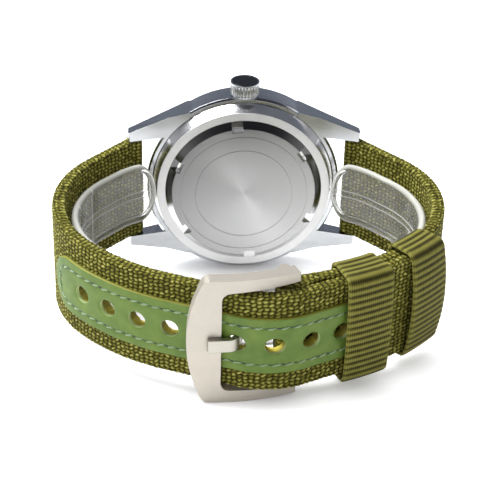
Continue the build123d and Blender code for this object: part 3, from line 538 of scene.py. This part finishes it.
def make_back_steel():
    """The case back: a disc brushed outwards from its middle, with painted highlight streaks and a
    painted slope of light and shade across it, a cone whose upper part has painted shade, a matte
    ring, and polished flanks."""
    look = Look("back_steel", Metallic=1.0, Anisotropic=0.6)
    upright = look.node("Mapping", [("Vector", look.place()), ("Rotation", (-lean, 0.0, 0.0))],
                        vector_type="POINT")
    parts = look.node("SeparateXYZ", [("Vector", upright)])
    x, depth, z = parts.outputs
    reach = look.math("SQRT", look.math("ADD", look.math("MULTIPLY", x, x),
                                        look.math("MULTIPLY", z, z)))
    angle = look.math("ARCTAN2", z, x)
    spin = look.node("CombineXYZ", [("X", look.math("MULTIPLY", angle, 60.0)),
                                    ("Y", look.math("MULTIPLY", reach, 90.0))])
    brush = look.noise(3, 6, 0.7, at=spin)
    on_face = look.math("LESS_THAN", depth, 0.0005)
    disc = look.math("LESS_THAN", reach, disc_edge)
    brushed = look.math("MULTIPLY", disc, on_face)
    # Painted highlight: two narrow bright streaks across the disc, at opposite angles
    turned = look.math("ADD", angle, -2.1)
    painted_highlight_streak = look.math("POWER", look.math("ABSOLUTE", look.math("COSINE", turned)), 14.0)
    # Painted light and shade: the disc grows lighter towards the right and the bottom and darker
    # towards the top and the left
    slope = look.math("ADD", look.math("MULTIPLY", x, 7.0), look.math("MULTIPLY", z, -7.0))
    tone = look.math("ADD", look.levels(brush, 0.42, 0.57), look.math("MULTIPLY", painted_highlight_streak, 0.08))
    tone = look.math("ADD", tone, slope)
    plain = look.levels(look.noise(500, 3), 0.94, 1.06)
    # Painted shade: the upper part of the cone is darkened in its colour
    cone = look.math("COMPARE", reach, cone_middle, cone_half)
    upper = look.levels(look.math("MULTIPLY", look.math("ADD", z, 0.0045), 250.0), 0.0, 1.0)
    painted_shade_cone = look.math("MULTIPLY", look.math("MULTIPLY", cone, upper),
                     look.math("LESS_THAN", depth, 0.0018))
    shade = look.node("Mix", [(0, brushed), (2, plain), (3, tone)])
    shade = look.node("Mix", [(0, painted_shade_cone), (2, shade.outputs[0]), (3, 0.22)])
    look.give(Base_Color=look.tinted(srgb(222, 222, 222), shade.outputs[0]))
    rough = look.node("Mix", [(0, brushed), (2, 0.19), (3, look.levels(brush, 0.28, 0.44))])
    ring = look.math("MULTIPLY", look.math("COMPARE", reach, ring_middle, ring_half),
                     look.math("LESS_THAN", depth, 0.0013))
    rough = look.node("Mix", [(0, ring), (2, rough.outputs[0]), (3, 0.42)])
    look.give(Roughness=rough.outputs[0])
    tangent = look.node("Tangent", direction_type="RADIAL", axis="Y")
    look.give(Tangent=tangent.outputs[0])
    look.bumped(look.math("MULTIPLY", brush, brushed), 1.2e-5, 0.5)
    return look.material


def make_case_steel():
    """Satin steel, finely brushed lengthwise, with soft light and dark streaks."""
    look = Look("case_steel", Metallic=1.0)
    stretched = look.node("Mapping", [("Vector", look.place()), ("Scale", (40.0, 900.0, 900.0))])
    brush = look.noise(1.0, 5, 0.6, at=stretched.outputs[0])
    broad = look.node("Mapping", [("Vector", look.place()), ("Scale", (25.0, 260.0, 260.0))])
    cloud = look.noise(1.0, 2, 0.5, at=broad.outputs[0])
    tone = look.math("ADD", look.levels(brush, 0.86, 1.06), look.levels(cloud, -0.20, 0.22))
    look.give(Base_Color=look.tinted(srgb(206, 208, 211), tone))
    look.give(Roughness=look.levels(brush, 0.12, 0.24))
    look.bumped(brush, 5e-6, 0.5)
    return look.material


def make_clear():
    """Clear plastic, a little milky, with a painted highlight that whitens its rims and its moulded
    lines.
    """
    look = Look("clear_plastic", Base_Color=(0.97, 0.97, 0.95, 1), Roughness=0.02, IOR=1.49,
                                     Transmission_Weight=1.0)
    look.bumped(look.noise(150, 2), 2e-5, 0.2)
    # A faint milky layer all over is the plastic's own haze; where the rim fact is high it is a
    # painted highlight
    milk_and_painted_highlight = look.node("BsdfDiffuse", [("Color", (0.84, 0.84, 0.78, 1.0))])
    share = look.math("ADD", look.levels(look.fact("rim"), 0.07, 0.85),
                      look.levels(look.noise(300, 2), -0.04, 0.04))
    mixed = look.node("MixShader", [(0, share), (1, look.shader.outputs[0]), (2, milk_and_painted_highlight)])
    look.join(mixed, look.output.inputs["Surface"])
    return look.material


def make_hole_lining():
    """The cut wall of a strap hole, with painted light where it faces up and painted shade where it
    faces down.
    """
    look = Look("hole_lining", Roughness=0.7, Specular_IOR_Level=0.25)
    # Painted light and shade: the colour follows which way the wall faces, lighter upwards and
    # darker downwards
    ways = look.node("SeparateXYZ", [("Vector", look.node("NewGeometry").outputs["Normal"])])
    facing = look.math("MULTIPLY_ADD", ways.outputs[2], 0.5, 0.5)
    tone = look.math("ADD", look.levels(look.math("POWER", facing, 2.5), 0.06, 1.4),
                     look.levels(look.noise(4000, 3), -0.06, 0.06))
    look.give(Base_Color=look.tinted(srgb(214, 200, 92), tone))
    return look.material


def make_thread():
    """Twisted mint thread, with a painted highlight on top of its strands and painted shade between
    them, at their ends and on the dark pit pieces.
    """
    look = Look("thread", Sheen_Weight=0.2, Roughness=0.45)
    tone = look.math("ADD", look.fact("strand"), look.levels(look.noise(3000, 2), -0.1, 0.1))
    look.give(Base_Color=look.ramp(tone, (0.1, srgb(22, 34, 12)), (0.3, srgb(92, 130, 78)),
                                   (0.8, srgb(216, 238, 198))))
    return look.material


looks = {
    "case_steel": make_case_steel(),
    "back_steel": make_back_steel(),
    "crown_inlay": finish("crown_inlay", srgb(10, 10, 12), 0.12, 0.2, Coat_Weight=0.1).material,
    "crystal_glass": finish("crystal_glass", (0.98, 0.99, 1, 1), 0.02, 0.01,
                            Transmission_Weight=1.0, IOR=1.76).material,
    "seal_rubber": finish("seal_rubber", srgb(26, 26, 27), 0.6, 0.15).material,
    "dial_paint": finish("dial_paint", srgb(24, 26, 25), 0.55, 0.1).material,
    "marker_paint": finish("marker_paint", srgb(226, 224, 196), 0.5, 0.05).material,
    "hand_metal": finish("hand_metal", srgb(214, 214, 214), 0.2, 0.05, Metallic=1.0).material,
    "gilt_brass": finish("gilt_brass", srgb(214, 178, 96), 0.25, 0.08, Metallic=1.0).material,
    "movement_plastic": finish("movement_plastic", srgb(196, 184, 150), 0.45, 0.08).material,
    "board_laminate": finish("board_laminate", srgb(34, 92, 52), 0.4, 0.12).material,
    "coil_wire": finish("coil_wire", srgb(176, 92, 44), 0.35, 0.15, Metallic=0.8).material,
    "battery_steel": finish("battery_steel", srgb(206, 206, 204), 0.3, 0.06, Metallic=1.0).material,
    "fitting_steel": finish("fitting_steel", srgb(190, 190, 192), 0.28, 0.08,
                            Metallic=1.0).material,
    "canvas": make_canvas(),
    "webbing": make_webbing(),
    "strip_leather": make_leather(),
    "buckle_metal": finish("buckle_metal", srgb(203, 196, 184), 0.5, 0.05, grain=9000,
                           grain_depth=8e-6, Metallic=0.55).material,
    "tongue_metal": finish("tongue_metal", srgb(180, 177, 166), 0.4, 0.05, Metallic=1.0).material,
    "clear_plastic": make_clear(),
    "hole_lining": make_hole_lining(),
    "cut_leather": finish("cut_leather", srgb(206, 226, 158), 0.6, 0.2).material,
    "thread": make_thread(),
}

for name, node in nodes.items():
    slots = node.data.materials
    kept_name = slots[0].name if len(slots) and slots[0] else "case_steel"
    kept_name = kept_name.split(".")[0]
    node.data.materials.clear()
    node.data.materials.append(looks[kept_name])

# Canvas weave: cells of threads that pass over each other, one way and the other by turns
weave_along = 0.00100
weave_across = 0.00078
weave_height = 0.00023
weave_sink = 0.42
weave_sway = 0.0001


def scatter(one, other, seed):
    """A steady value from 0 to 1 for each pair of whole numbers."""
    mixed = np.sin(one * 12.9898 + other * 78.233 + seed * 37.719) * 43758.5453
    return mixed - np.floor(mixed)


def weave(along, across):
    """How high the threads stand at a place of the weave, from 0 to 1."""
    sway_along = weave_sway * (np.sin(across * 2300 + along * 310)
                               + np.sin(across * 5100 - along * 170))
    sway_across = weave_sway * (np.sin(along * 1900 - across * 270)
                                + np.sin(along * 4700 + across * 230))
    u, v = (along + sway_along) / weave_along, (across + sway_across) / weave_across
    column, line = np.floor(u), np.floor(v)
    du, dv = 2 * (u - column) - 1, 2 * (v - line) - 1
    bead = np.clip(1 - (dv - 0.3 * du) ** 2, 0, 1) ** 0.7 * (1 - 0.95 * np.abs(du) ** 3)
    strand = 0.10 * np.cos(9 * dv + 2.2 * du)
    stand = 0.84 + 0.28 * (scatter(column, line, 1) - 0.5) + 0.16 * ((column + line) % 2 - 0.5)
    return np.clip((bead + strand * bead) * stand, 0, 1)


def canvas_relief(along, across, outward):
    """The canvas's threads on a strap with the straps' own loop."""
    way = across + np.sign(strap_section.rounding) * strap_section.inward * strap_thickness
    value = weave(along, way + np.where(strap_section.normal_out < 0, 40.5 * weave_across, 0))
    # The relief fact also sets the canvas's painted shade and highlight
    return (value - weave_sink) * weave_height, {"relief": value}


def tapered(depths):
    """Half the strap's width at a depth."""
    share = np.clip(depths / strap_taper_end, 0, 1)
    return strap_width_lugs / 2 * (1 - share) + strap_width_front / 2 * share


def nose(radius, half, count):
    """A round end on a strap: (along, outward) of its outside, from the tip to the flat."""
    angle = np.linspace(0, pi - asin(min(1, half / radius)), count)
    return -radius * np.cos(angle), np.maximum(radius * np.sin(angle), 1e-6)


strap_rows = 2 * (int(strap_width_lugs / weave_across * (5)) // 2) + 1
strap_section = Section(np.linspace(-1, 1, strap_rows), 9)
strap_edge = 0.00035
along_step = weave_along / 5


def strap_stations(route, finish_at):
    """The stations of a strap from its lug end: its (along, outward) outside, and half widths."""
    nose_along, nose_out = nose(strap_tube_radius, half_strap, nose_steps)
    flat = spaced(nose_along[-1], finish_at, along_step)[1:]
    along = np.concatenate([nose_along, flat])
    swell = (strap_tube_radius - half_strap) * 0.25
    settled = np.exp(-(flat - nose_along[-1]) / 0.0006)
    outward = np.concatenate([nose_out, half_strap + swell * settled])
    outward[:nose_steps] += swell * np.linspace(0, 1, nose_steps) ** 4
    depths = follow(route, along, 0)[:, 1]
    return along, outward, tapered(depths)


along, outward, widths = strap_stations(hole_route, length_of(hole_route) - strap_end_round)
end_turn = np.linspace(0, pi / 2, 6)[1:]
along = np.concatenate([along, along[-1] + strap_end_round * np.sin(end_turn)])
outward = np.concatenate([outward, half_strap - strap_end_round * (1 - np.cos(end_turn))])
widths = np.concatenate([widths, widths[-1] - 0.0003 + 0.0003 * np.cos(end_turn)])
slab("hole_strap_canvas", strap_section, hole_route, (along, outward), (along, -outward), widths,
     strap_edge, canvas_relief, looks["canvas"], "case", holes=hole_places,
     hole_radius=strap_hole_radius, hole_flare=hole_flare, lining=looks["hole_lining"],
     slot="canvas", replaced=["hole_strap"])

# The strap with the buckle is folded round the buckle's bar: its outside climbs over the bar
along, outward, widths = strap_stations(buckle_route, length_of(buckle_route) - fold_length)
fold_radius = bar_radius + soft_gap + half_strap * fold_share
bar_out = half_strap + bar_outset
end = length_of(buckle_route)
climb = spaced(end - fold_length, end - fold_radius * 0.5, along_step)[1:]
climb_share = (climb - climb[0]) / (climb[-1] - climb[0])
climb_out = half_strap + (bar_out + fold_meet * fold_radius - half_strap) * climb_share**1.15
round_end = np.linspace(asin(fold_meet), -pi / 2, 22)[1:]
round_along = end + fold_radius * np.cos(round_end)
outside_along = np.concatenate([along, climb, round_along])
outside_out = np.concatenate([outward, climb_out, bar_out + fold_radius * np.sin(round_end)])
last = np.linspace(climb[-1], end + 0.4 * fold_radius, len(round_along) + 1)[1:]
under = np.concatenate([climb, last])
rise = np.clip((under - (end - 0.001)) / (under[-1] - end + 0.001), 0, 1)
under_out = -half_strap + (bar_out - fold_radius + half_strap) * rise**2
inside_along = np.concatenate([along, under])
inside_out = np.concatenate([-outward, under_out])
widths = np.concatenate([widths, np.full(len(under), strap_width_front / 2)])
slab("buckle_strap_canvas", strap_section, buckle_route, (outside_along, outside_out),
     (inside_along, inside_out), widths, strap_edge, canvas_relief, looks["canvas"], "case",
     side=-1, slot="canvas", replaced=["buckle_strap"])

# The leather strip along the holes, with rounded ends and a groove for its stitches
strip_half = strip_width / 2
strip_sink = 0.00006
stitch_inset = 0.0019
strip_edge = 0.0003


def strip_reach(along, across):
    """How far a place lies inside the strip's rounded outline."""
    half_length = (strip_finish - strip_begin) / 2
    u = np.abs(along - (strip_begin + strip_finish) / 2) - half_length + strip_round
    v = np.abs(across) - strip_half + strip_round
    outer = np.hypot(np.maximum(u, 0), np.maximum(v, 0))
    return strip_round - outer - np.minimum(np.maximum(u, v), 0)


def strip_relief(along, across, outward):
    """The strip's soft edge, its stitch groove and its pressed hole rims."""
    inset = strip_reach(along, across)
    groove = np.exp(-(((inset - stitch_inset) / 0.00024) ** 2))
    rim = np.zeros(along.shape)
    for place in hole_places:
        rim += np.exp(-np.maximum(np.hypot(along - place, across) - strap_hole_radius, 0) / 0.00022)
    swell = 0.00003 * np.sin(along * 900) * np.cos(across * 700)
    outer = outward > half_strap + strip_thickness / 2
    height = np.where(outer, -0.00013 * groove - 0.00016 * rim + swell, 0)
    edge = np.where(outer, np.clip(1.2 - inset / 0.00012, 0, 1), 0.35)
    return height, {"edge": edge, "groove": 0.35 * groove}


bend = np.linspace(0, pi / 2, 22)
round_part = strip_round * (1 - np.cos(bend))
strip_flat = spaced(strip_begin + strip_round, strip_finish - strip_round, 0.0002)[1:-1]
along = np.concatenate([strip_begin + round_part, strip_flat, (strip_finish - round_part)[::-1]])
round_half = strip_half - strip_round + strip_round * np.sin(bend)
widths = np.concatenate([round_half, np.full(len(strip_flat), strip_half), round_half[::-1]])
strip_section = Section(np.linspace(-1, 1, 55), 7)
strip_top = np.full(len(along), half_strap + strip_thickness)
strip_foot = np.full(len(along), half_strap - strip_sink)
slab("leather_strip_skin", strip_section, hole_route, (along, strip_top), (along, strip_foot),
     widths, strip_edge, strip_relief, looks["strip_leather"], "case", holes=hole_places,
     hole_radius=strap_hole_radius, lining=looks["cut_leather"], closed_ends=(True, True),
     slot="strip_leather", replaced=["leather_strip"])

# Stitches: short twisted threads that follow the strip's outline, with dark lens pieces between
# them that are painted shade for the stitch holes
stitch_pitch = 0.0021
stitch_half = 0.0008
stitch_slant = 0.0002
thread_radius = 0.00018
thread_ply = 0.16
painted_pit_half = 0.00026
painted_pit_radius = 0.0002
stitch_round = strip_round - stitch_inset
straight_half = (strip_finish - strip_begin) / 2 - strip_round
narrow_half = strip_half - strip_round
middle = (strip_begin + strip_finish) / 2
outline = rounded((-straight_half, narrow_half + stitch_round), 2 * straight_half, 2 * narrow_half,
                  stitch_round)
stitch_count = int(round(length_of(outline) / stitch_pitch))
strip_face = half_strap + strip_thickness
reach = np.linspace(-1, 1, 9)
turn = np.linspace(0, 2 * pi, 9)[:-1]


def seam_piece(centre, half, radius, slant, low, arch, ply, squash):
    """Points of one long round piece on the strip's seam, and its painted light: how far each is in
    its strands, darker towards the ends.
    """
    spots = follow(outline, (centre + half * reach) % length_of(outline), 0)
    ahead = follow(outline, (centre + half * reach + 1e-5) % length_of(outline), 0)
    step = (ahead - spots) / np.hypot(*(ahead - spots).T)[:, None]
    thick = radius * np.clip(1.02 - reach**2, 0, 1) ** 0.25
    twist = 1 + ply * np.cos(3 * turn[None, :] + 5.5 * reach[:, None])
    aside = slant * reach[:, None] + thick[:, None] * np.cos(turn)[None, :] * twist
    rise = low + arch * np.sqrt(np.clip(1 - reach**2, 0, 1))[:, None]
    up = squash * thick[:, None] * np.sin(turn)[None, :] * twist
    u = middle + spots[:, 0, None] - step[:, 1, None] * aside
    v = spots[:, 1, None] + step[:, 0, None] * aside
    # Painted light: lighter on the ply's crests, darker between plies and towards the ends where
    # the thread dives in
    strand = (0.5 + (twist - 1) / (2 * thread_ply)) * (1 - 0.6 * reach[:, None] ** 4)
    return laid(hole_route, u, strip_face + rise + up, v).reshape(-1, 3), strand.ravel()


points, faces, strands = [], [], []
for number in range(2 * stitch_count):
    centre = (number + 1) / 2 * length_of(outline) / stitch_count
    # Odd pieces are flat black lenses, painted shade for the stitch holes; even pieces are the
    # threads
    if number % 2:
        spots, strand = seam_piece(centre, painted_pit_half, painted_pit_radius, 0, -0.0001, 0, 0, 0.15)
        strand = 0 * strand
    else:
        spots, strand = seam_piece(centre, stitch_half, thread_radius, stitch_slant, -0.00014,
                                   0.00013, thread_ply, 1)
    points.append(spots)
    strands.append(strand)
    size = len(reach) * len(turn)
    grid = number * size + np.arange(size).reshape(len(reach), len(turn))
    wrapped = np.roll(grid, -1, axis=1)
    faces += np.stack([grid[:-1], wrapped[:-1], wrapped[1:], grid[1:]], -1).reshape(-1, 4).tolist()
    faces += [grid[0].tolist(), grid[-1][::-1].tolist()]
make_piece("strip_stitches", np.concatenate(points), faces, looks["thread"], "case",
           facts={"strand": np.concatenate(strands)}, slot="strip_leather")

# Keepers: loops of ribbed webbing round both straps
rib_pitch = 0.0013
rib_height = 0.00009
keeper_corner = 0.0013


def make_keeper(name, node, body, begin, over, bulge):
    """A webbing loop along the front arc, over the strap and what lies on it, bulging outwards."""
    low = -(half_strap + soft_gap + keeper_wall / 2)
    high = half_strap + layer + over + soft_gap + keeper_wall / 2
    half = strap_width_front / 2 + keeper_side_gap + keeper_wall / 2
    loop = rounded((-half + keeper_corner, high), 2 * (half - keeper_corner),
                   high - low - 2 * keeper_corner, keeper_corner)
    total = length_of(loop)
    ribs = int(round(total / rib_pitch))
    way = np.linspace(0, total, ribs * 8 + 1)[:-1]
    edge = np.linspace(0, pi, 7)[1:-1]
    flat = spaced(0, keeper_width - keeper_wall, 0.0002)
    middle_part = np.concatenate([flat, keeper_width - keeper_wall + keeper_wall / 2 * np.sin(edge),
                                  flat[::-1], -keeper_wall / 2 * np.sin(edge)]) + keeper_wall / 2
    offset = np.concatenate([np.ones(len(flat)), np.cos(edge), -np.ones(len(flat)), -np.cos(edge)])
    ridge = (0.5 + 0.5 * np.cos(2 * pi * way * ribs / total)) ** 0.8
    selvedge = np.exp(-np.minimum(middle_part, keeper_width - middle_part) / 0.0005)
    relief = ridge[:, None] * (1 - 0.35 * selvedge[None, :]) + 0.3 * selvedge[None, :]
    ribbed = np.sign(offset)[None, :] * rib_height * (relief - 1)
    spread = offset[None, :] * keeper_wall / 2 + ribbed
    flat_loop = follow(loop, way[:, None] + 0 * spread, spread)
    across, outward = flat_loop[..., 0], flat_loop[..., 1]
    crown = bulge * np.clip(1 - (across / half) ** 2, 0, 1)
    outward = outward + crown * np.clip((outward - low) / (high - low), 0, 1) ** 2
    points = laid(buckle_route, front_start + begin + middle_part[None, :] + 0 * spread, outward,
                  across, side=-1)
    count = len(middle_part)
    grid = np.arange(len(way) * count).reshape(len(way), count)
    down, beside = np.roll(grid, -1, axis=0), np.roll(grid, -1, axis=1)
    both = np.roll(down, -1, axis=1)
    faces = np.stack([grid, beside, both, down], -1).reshape(-1, 4).tolist()
    # This tone becomes the webbing's painted highlight on the ribs and painted shade between them
    tone = np.clip(relief, 0, 1) + 0.25 * selvedge[None, :]
    make_piece(name, points, faces, looks["webbing"], body, slot="webbing", replaced=[node],
               facts={"relief": tone, "along": middle_part[None, :] + 0 * spread})


make_keeper("sliding_keeper_webbing", "sliding_keeper", "sliding_keeper", keeper_start, 0, 0.0014)
make_keeper("fixed_keeper_webbing", "fixed_keeper", "case",
            keeper_start + keeper_width + keeper_space, strip_thickness + keeper_rise, 0.0006)

# Display cuff: one clear band from lip to lip, with thicker rims, two fine lines along it and two
# across each half
cuff_aside = half_strap + soft_gap + keeper_wall + cuff_gap + cuff_thickness / 2
cuff_half_turn = 360 - buckle_front_start
joint = shifted(shifted(bar_at, strap_leave_angle, cuff_join), strap_leave_angle + 90, cuff_aside)
lip_turn = cuff_lip_angle / 2
lip_chord = cuff_lip_length / radians(lip_turn) * sin(radians(lip_turn))
lip_start = shifted(joint, strap_leave_angle - lip_turn + 180, lip_chord)


def tightened(piece):
    """A piece of the strap's route as it runs at the cuff."""
    length, turn = piece
    return (length - radians(turn) * cuff_aside, turn)


cuff_route = (lip_start, strap_leave_angle - cuff_lip_angle, [
    (cuff_lip_length, cuff_lip_angle), (strap_straight - cuff_join, 0),
    tightened(arc(buckle_side_radius, buckle_side_angle)),
    tightened(arc(buckle_front_radius, cuff_half_turn))])
cuff_length = length_of(cuff_route)
cuff_half = cuff_width / 2
end_bend = np.linspace(0.12, pi / 2, 24)
end_steps = cuff_round * (1 - np.cos(end_bend))
cross_ribs = (0.0175, 0.0245)
near_ribs = np.add.outer(cross_ribs, np.linspace(-0.0006, 0.0006, 13)).ravel()
run = np.concatenate([end_steps, spaced(cuff_round, cuff_length, 0.0005)[1:], near_ribs])
run = np.unique(run.round(6))
half_widths = cuff_half * np.sqrt(np.clip(1 - np.clip(1 - run / cuff_round, 0, None) ** 2, 0, None))
run = np.concatenate([run, 2 * cuff_length - run[::-1][1:]])
half_widths = np.concatenate([half_widths, half_widths[::-1][1:]])
cuff_section = Section(np.linspace(-1, 1, 121), 7, 1.0)
cuff_rim = 0.0009
cuff_bead = 0.00028
line_aside = 0.00065


def make_cuff():
    """The clear band as one mesh, through both halves of its route."""
    section = cuff_section
    edge = cuff_thickness / 2
    across = section.share * (half_widths[:, None] - edge) + section.rounding * edge
    from_end = np.minimum(run, 2 * cuff_length - run)[:, None]
    from_round = np.clip(1 - from_end / cuff_round, 0, None)
    inset = cuff_half * np.clip(1 - np.hypot(from_round, across / cuff_half), 0, None)
    rim = np.clip(1 - inset / cuff_rim, 0, 1)
    bead = cuff_bead * np.sin(pi * np.clip(inset / (1.6 * cuff_rim), 0, 1))
    fine = 0.00012 * sum(np.exp(-(((across - side * line_aside) / 0.00016) ** 2))
                         for side in (1, -1))
    bars = sum(np.exp(-(((run - place) / 0.00022) ** 2)) for place in cross_ribs)[:, None]
    inner = section.inward[None, :] > 0.5
    height = bead + np.where(inner, fine + 0.00015 * bars, 0)
    outward = (1 - 2 * section.inward) * edge * np.ones_like(across) + height * section.normal_out
    first = run <= cuff_length
    points = np.zeros(across.shape + (3,))
    points[first] = laid(cuff_route, run[first][:, None] + 0 * across[first], outward[first],
                         across[first] + cuff_rise)
    points[~first] = laid(cuff_route, 2 * cuff_length - run[~first][:, None] + 0 * across[~first],
                          outward[~first], across[~first] + cuff_rise, side=-1)
    grid = np.arange(across.size).reshape(across.shape)
    beside = np.roll(grid, -1, axis=1)
    faces = np.stack([grid[:-1], beside[:-1], beside[1:], grid[1:]], -1).reshape(-1, 4).tolist()
    faces += [grid[0].tolist(), grid[-1].tolist()]
    # Painted highlight: the rims, the fine lines and the cross bars are marked to turn whiter
    light = np.clip(rim + np.where(inner, 6500 * fine + 0.9 * bars, 0), 0, 1)
    return make_piece("display_cuff_clear", points, faces, looks["clear_plastic"], "display_cuff",
                      slot="clear_plastic", replaced=["display_cuff"], facts={"rim": light})


make_cuff()

# Soften the sharp edges of the CAD metal
for name, width in (("case_middle", 0.00014), ("bezel", 0.00015), ("buckle_frame", 0.00016),
                    ("buckle_tongue", 0.00016), ("case_back", 0.00007), ("crown", 0.00006)):
    node = nodes[name]
    weld = node.modifiers.new("weld", "WELD")
    weld.merge_threshold = 1e-6
    flatten = node.modifiers.new("flatten", "DECIMATE")
    flatten.decimate_type = "DISSOLVE"
    flatten.angle_limit = radians(0.5)
    bevel = node.modifiers.new("bevel", "BEVEL")
    bevel.width = width
    bevel.segments = 3
    bevel.limit_method = "ANGLE"
    bevel.angle_limit = radians(32)
    bevel.use_clamp_overlap = True
    node.data.shade_smooth()
    even = node.modifiers.new("even", "WEIGHTED_NORMAL")
    even.mode = "FACE_AREA"
    even.weight = 100

# Floor, backdrop, light and camera
floor_height = min(corner.z for corner in cad_box)
floor_mesh = bpy.data.meshes.new("floor")
floor_half = 4.0
floor_mesh.from_pydata([(floor_half * x, floor_half * y, floor_height)
                        for x, y in ((-1, -1), (1, -1), (1, 1), (-1, 1))], [], [(0, 1, 2, 3)])
floor = bpy.data.objects.new("floor", floor_mesh)
bpy.context.scene.collection.objects.link(floor)
floor_look = Look("floor", Base_Color=(0.84, 0.84, 0.85, 1), Roughness=0.9,
                  Specular_IOR_Level=0.1)
# Its own glow keeps it white for the camera and in mirrors and glass, but ambient occlusion dims
# that glow under and beside the watch as a painted contact shadow
rays = floor_look.node("LightPath")
mirrored = floor_look.math("ADD", rays.outputs["Is Glossy Ray"],
                           rays.outputs["Is Transmission Ray"], clamp=True)
direct = floor_look.math("ADD", floor_look.math("MULTIPLY", mirrored, 0.76),
                         floor_look.math("MULTIPLY", rays.outputs["Is Camera Ray"], 0.94))
# Painted shadow: ambient occlusion dims the glow near the watch
open_floor = floor_look.node("AmbientOcclusion", [("Distance", 0.006)], samples=8)
open_share = floor_look.math("POWER", open_floor.outputs["AO"], 1.2)
seen = floor_look.math("MULTIPLY", direct, floor_look.levels(open_share, 0.04, 1.0))
glow = floor_look.node("Emission", [("Color", (1.0, 1.0, 1.0, 1.0)), ("Strength", seen)])
added = floor_look.node("AddShader", [(0, floor_look.shader.outputs[0]), (1, glow)])
floor_look.join(added, floor_look.output.inputs["Surface"])
floor_mesh.materials.append(floor_look.material)

world = bpy.data.worlds.new("studio")
bpy.context.scene.world = world
world.use_nodes = True
sky = Nodes(world.node_tree)
direction = sky.node("TexCoord").outputs["Generated"]
heading = sky.node("SeparateXYZ", [(0, direction)])
front = sky.ramp(heading.outputs["Z"], (0.0, (0.90, 0.90, 0.90, 1)), (0.22, (0.62, 0.62, 0.63, 1)),
                 (0.5, (0.07, 0.07, 0.08, 1)), (1.0, (0.04, 0.04, 0.05, 1)))
behind = sky.ramp(heading.outputs["Z"], (0.0, (0.34, 0.37, 0.42, 1)), (0.5, (0.17, 0.19, 0.23, 1)),
                  (1.0, (0.20, 0.21, 0.24, 1)))
behind_share = sky.math("ADD", sky.math("MULTIPLY", heading.outputs["Y"], 1.6), 0.45, clamp=True)
around = sky.blended(behind_share, front, behind)
shown = sky.blended(sky.node("LightPath").outputs["Is Camera Ray"], around, (1.0, 1.0, 1.0, 1.0))
sky.join(shown, world.node_tree.nodes["Background"].inputs["Color"])


def softbox(name, place, aim, size, power):
    """A soft square lamp at a place, aimed at a point."""
    lamp = bpy.data.lights.new(name, "AREA")
    lamp.shape = "RECTANGLE"
    lamp.size, lamp.size_y = size
    lamp.energy = power
    holder = bpy.data.objects.new(name, lamp)
    bpy.context.scene.collection.objects.link(holder)
    holder.location = place
    holder.rotation_euler = (Vector(aim) - Vector(place)).to_track_quat("-Z", "Y").to_euler()


softbox("key", (-0.40, 0.12, 0.72), (0, -0.02, 0), (0.45, 0.45), 9.4)
softbox("front", (-0.45, -0.85, 0.34), (0, -0.02, 0), (0.50, 0.40), 1.2)
softbox("fill", (0.75, -0.20, 0.50), (0, -0.02, 0), (0.40, 0.40), 0.6)

# The camera stands where the photograph was taken from, in the watch's own directions
view_azimuth, view_elevation, view_roll = radians(-3.83), radians(31.55), radians(1.77)
view_distance = 0.32788
view_aim = (0.00176, 0, -0.01442)
sensor = 0.036
image_width = 500
focal_pixels = 1548.17
back = np.array([sin(view_azimuth) * cos(view_elevation), -cos(view_azimuth) * cos(view_elevation),
                 sin(view_elevation)])
right = np.cross(-back, (0, 0, 1))
right /= np.linalg.norm(right)
up = np.cross(right, -back)
tilted_right = right * cos(view_roll) + up * sin(view_roll)
tilted_up = up * cos(view_roll) - right * sin(view_roll)
place = np.array(view_aim) + back * view_distance
turned_axes = [rows(axis) - rows((0, 0, 0)) for axis in (tilted_right, tilted_up, back)]
camera_data = bpy.data.cameras.new("camera")
camera_data.sensor_width = sensor * 1000
camera_data.lens = focal_pixels / image_width * sensor * 1000
camera_data.clip_start = 0.01
camera = bpy.data.objects.new("camera", camera_data)
bpy.context.scene.collection.objects.link(camera)
matrix = Matrix([list(axis) for axis in turned_axes]).transposed().to_4x4()
matrix.translation = Vector(rows(place))
camera.matrix_world = matrix
bpy.context.scene.camera = camera
bpy.context.scene.view_settings.view_transform = "Standard"
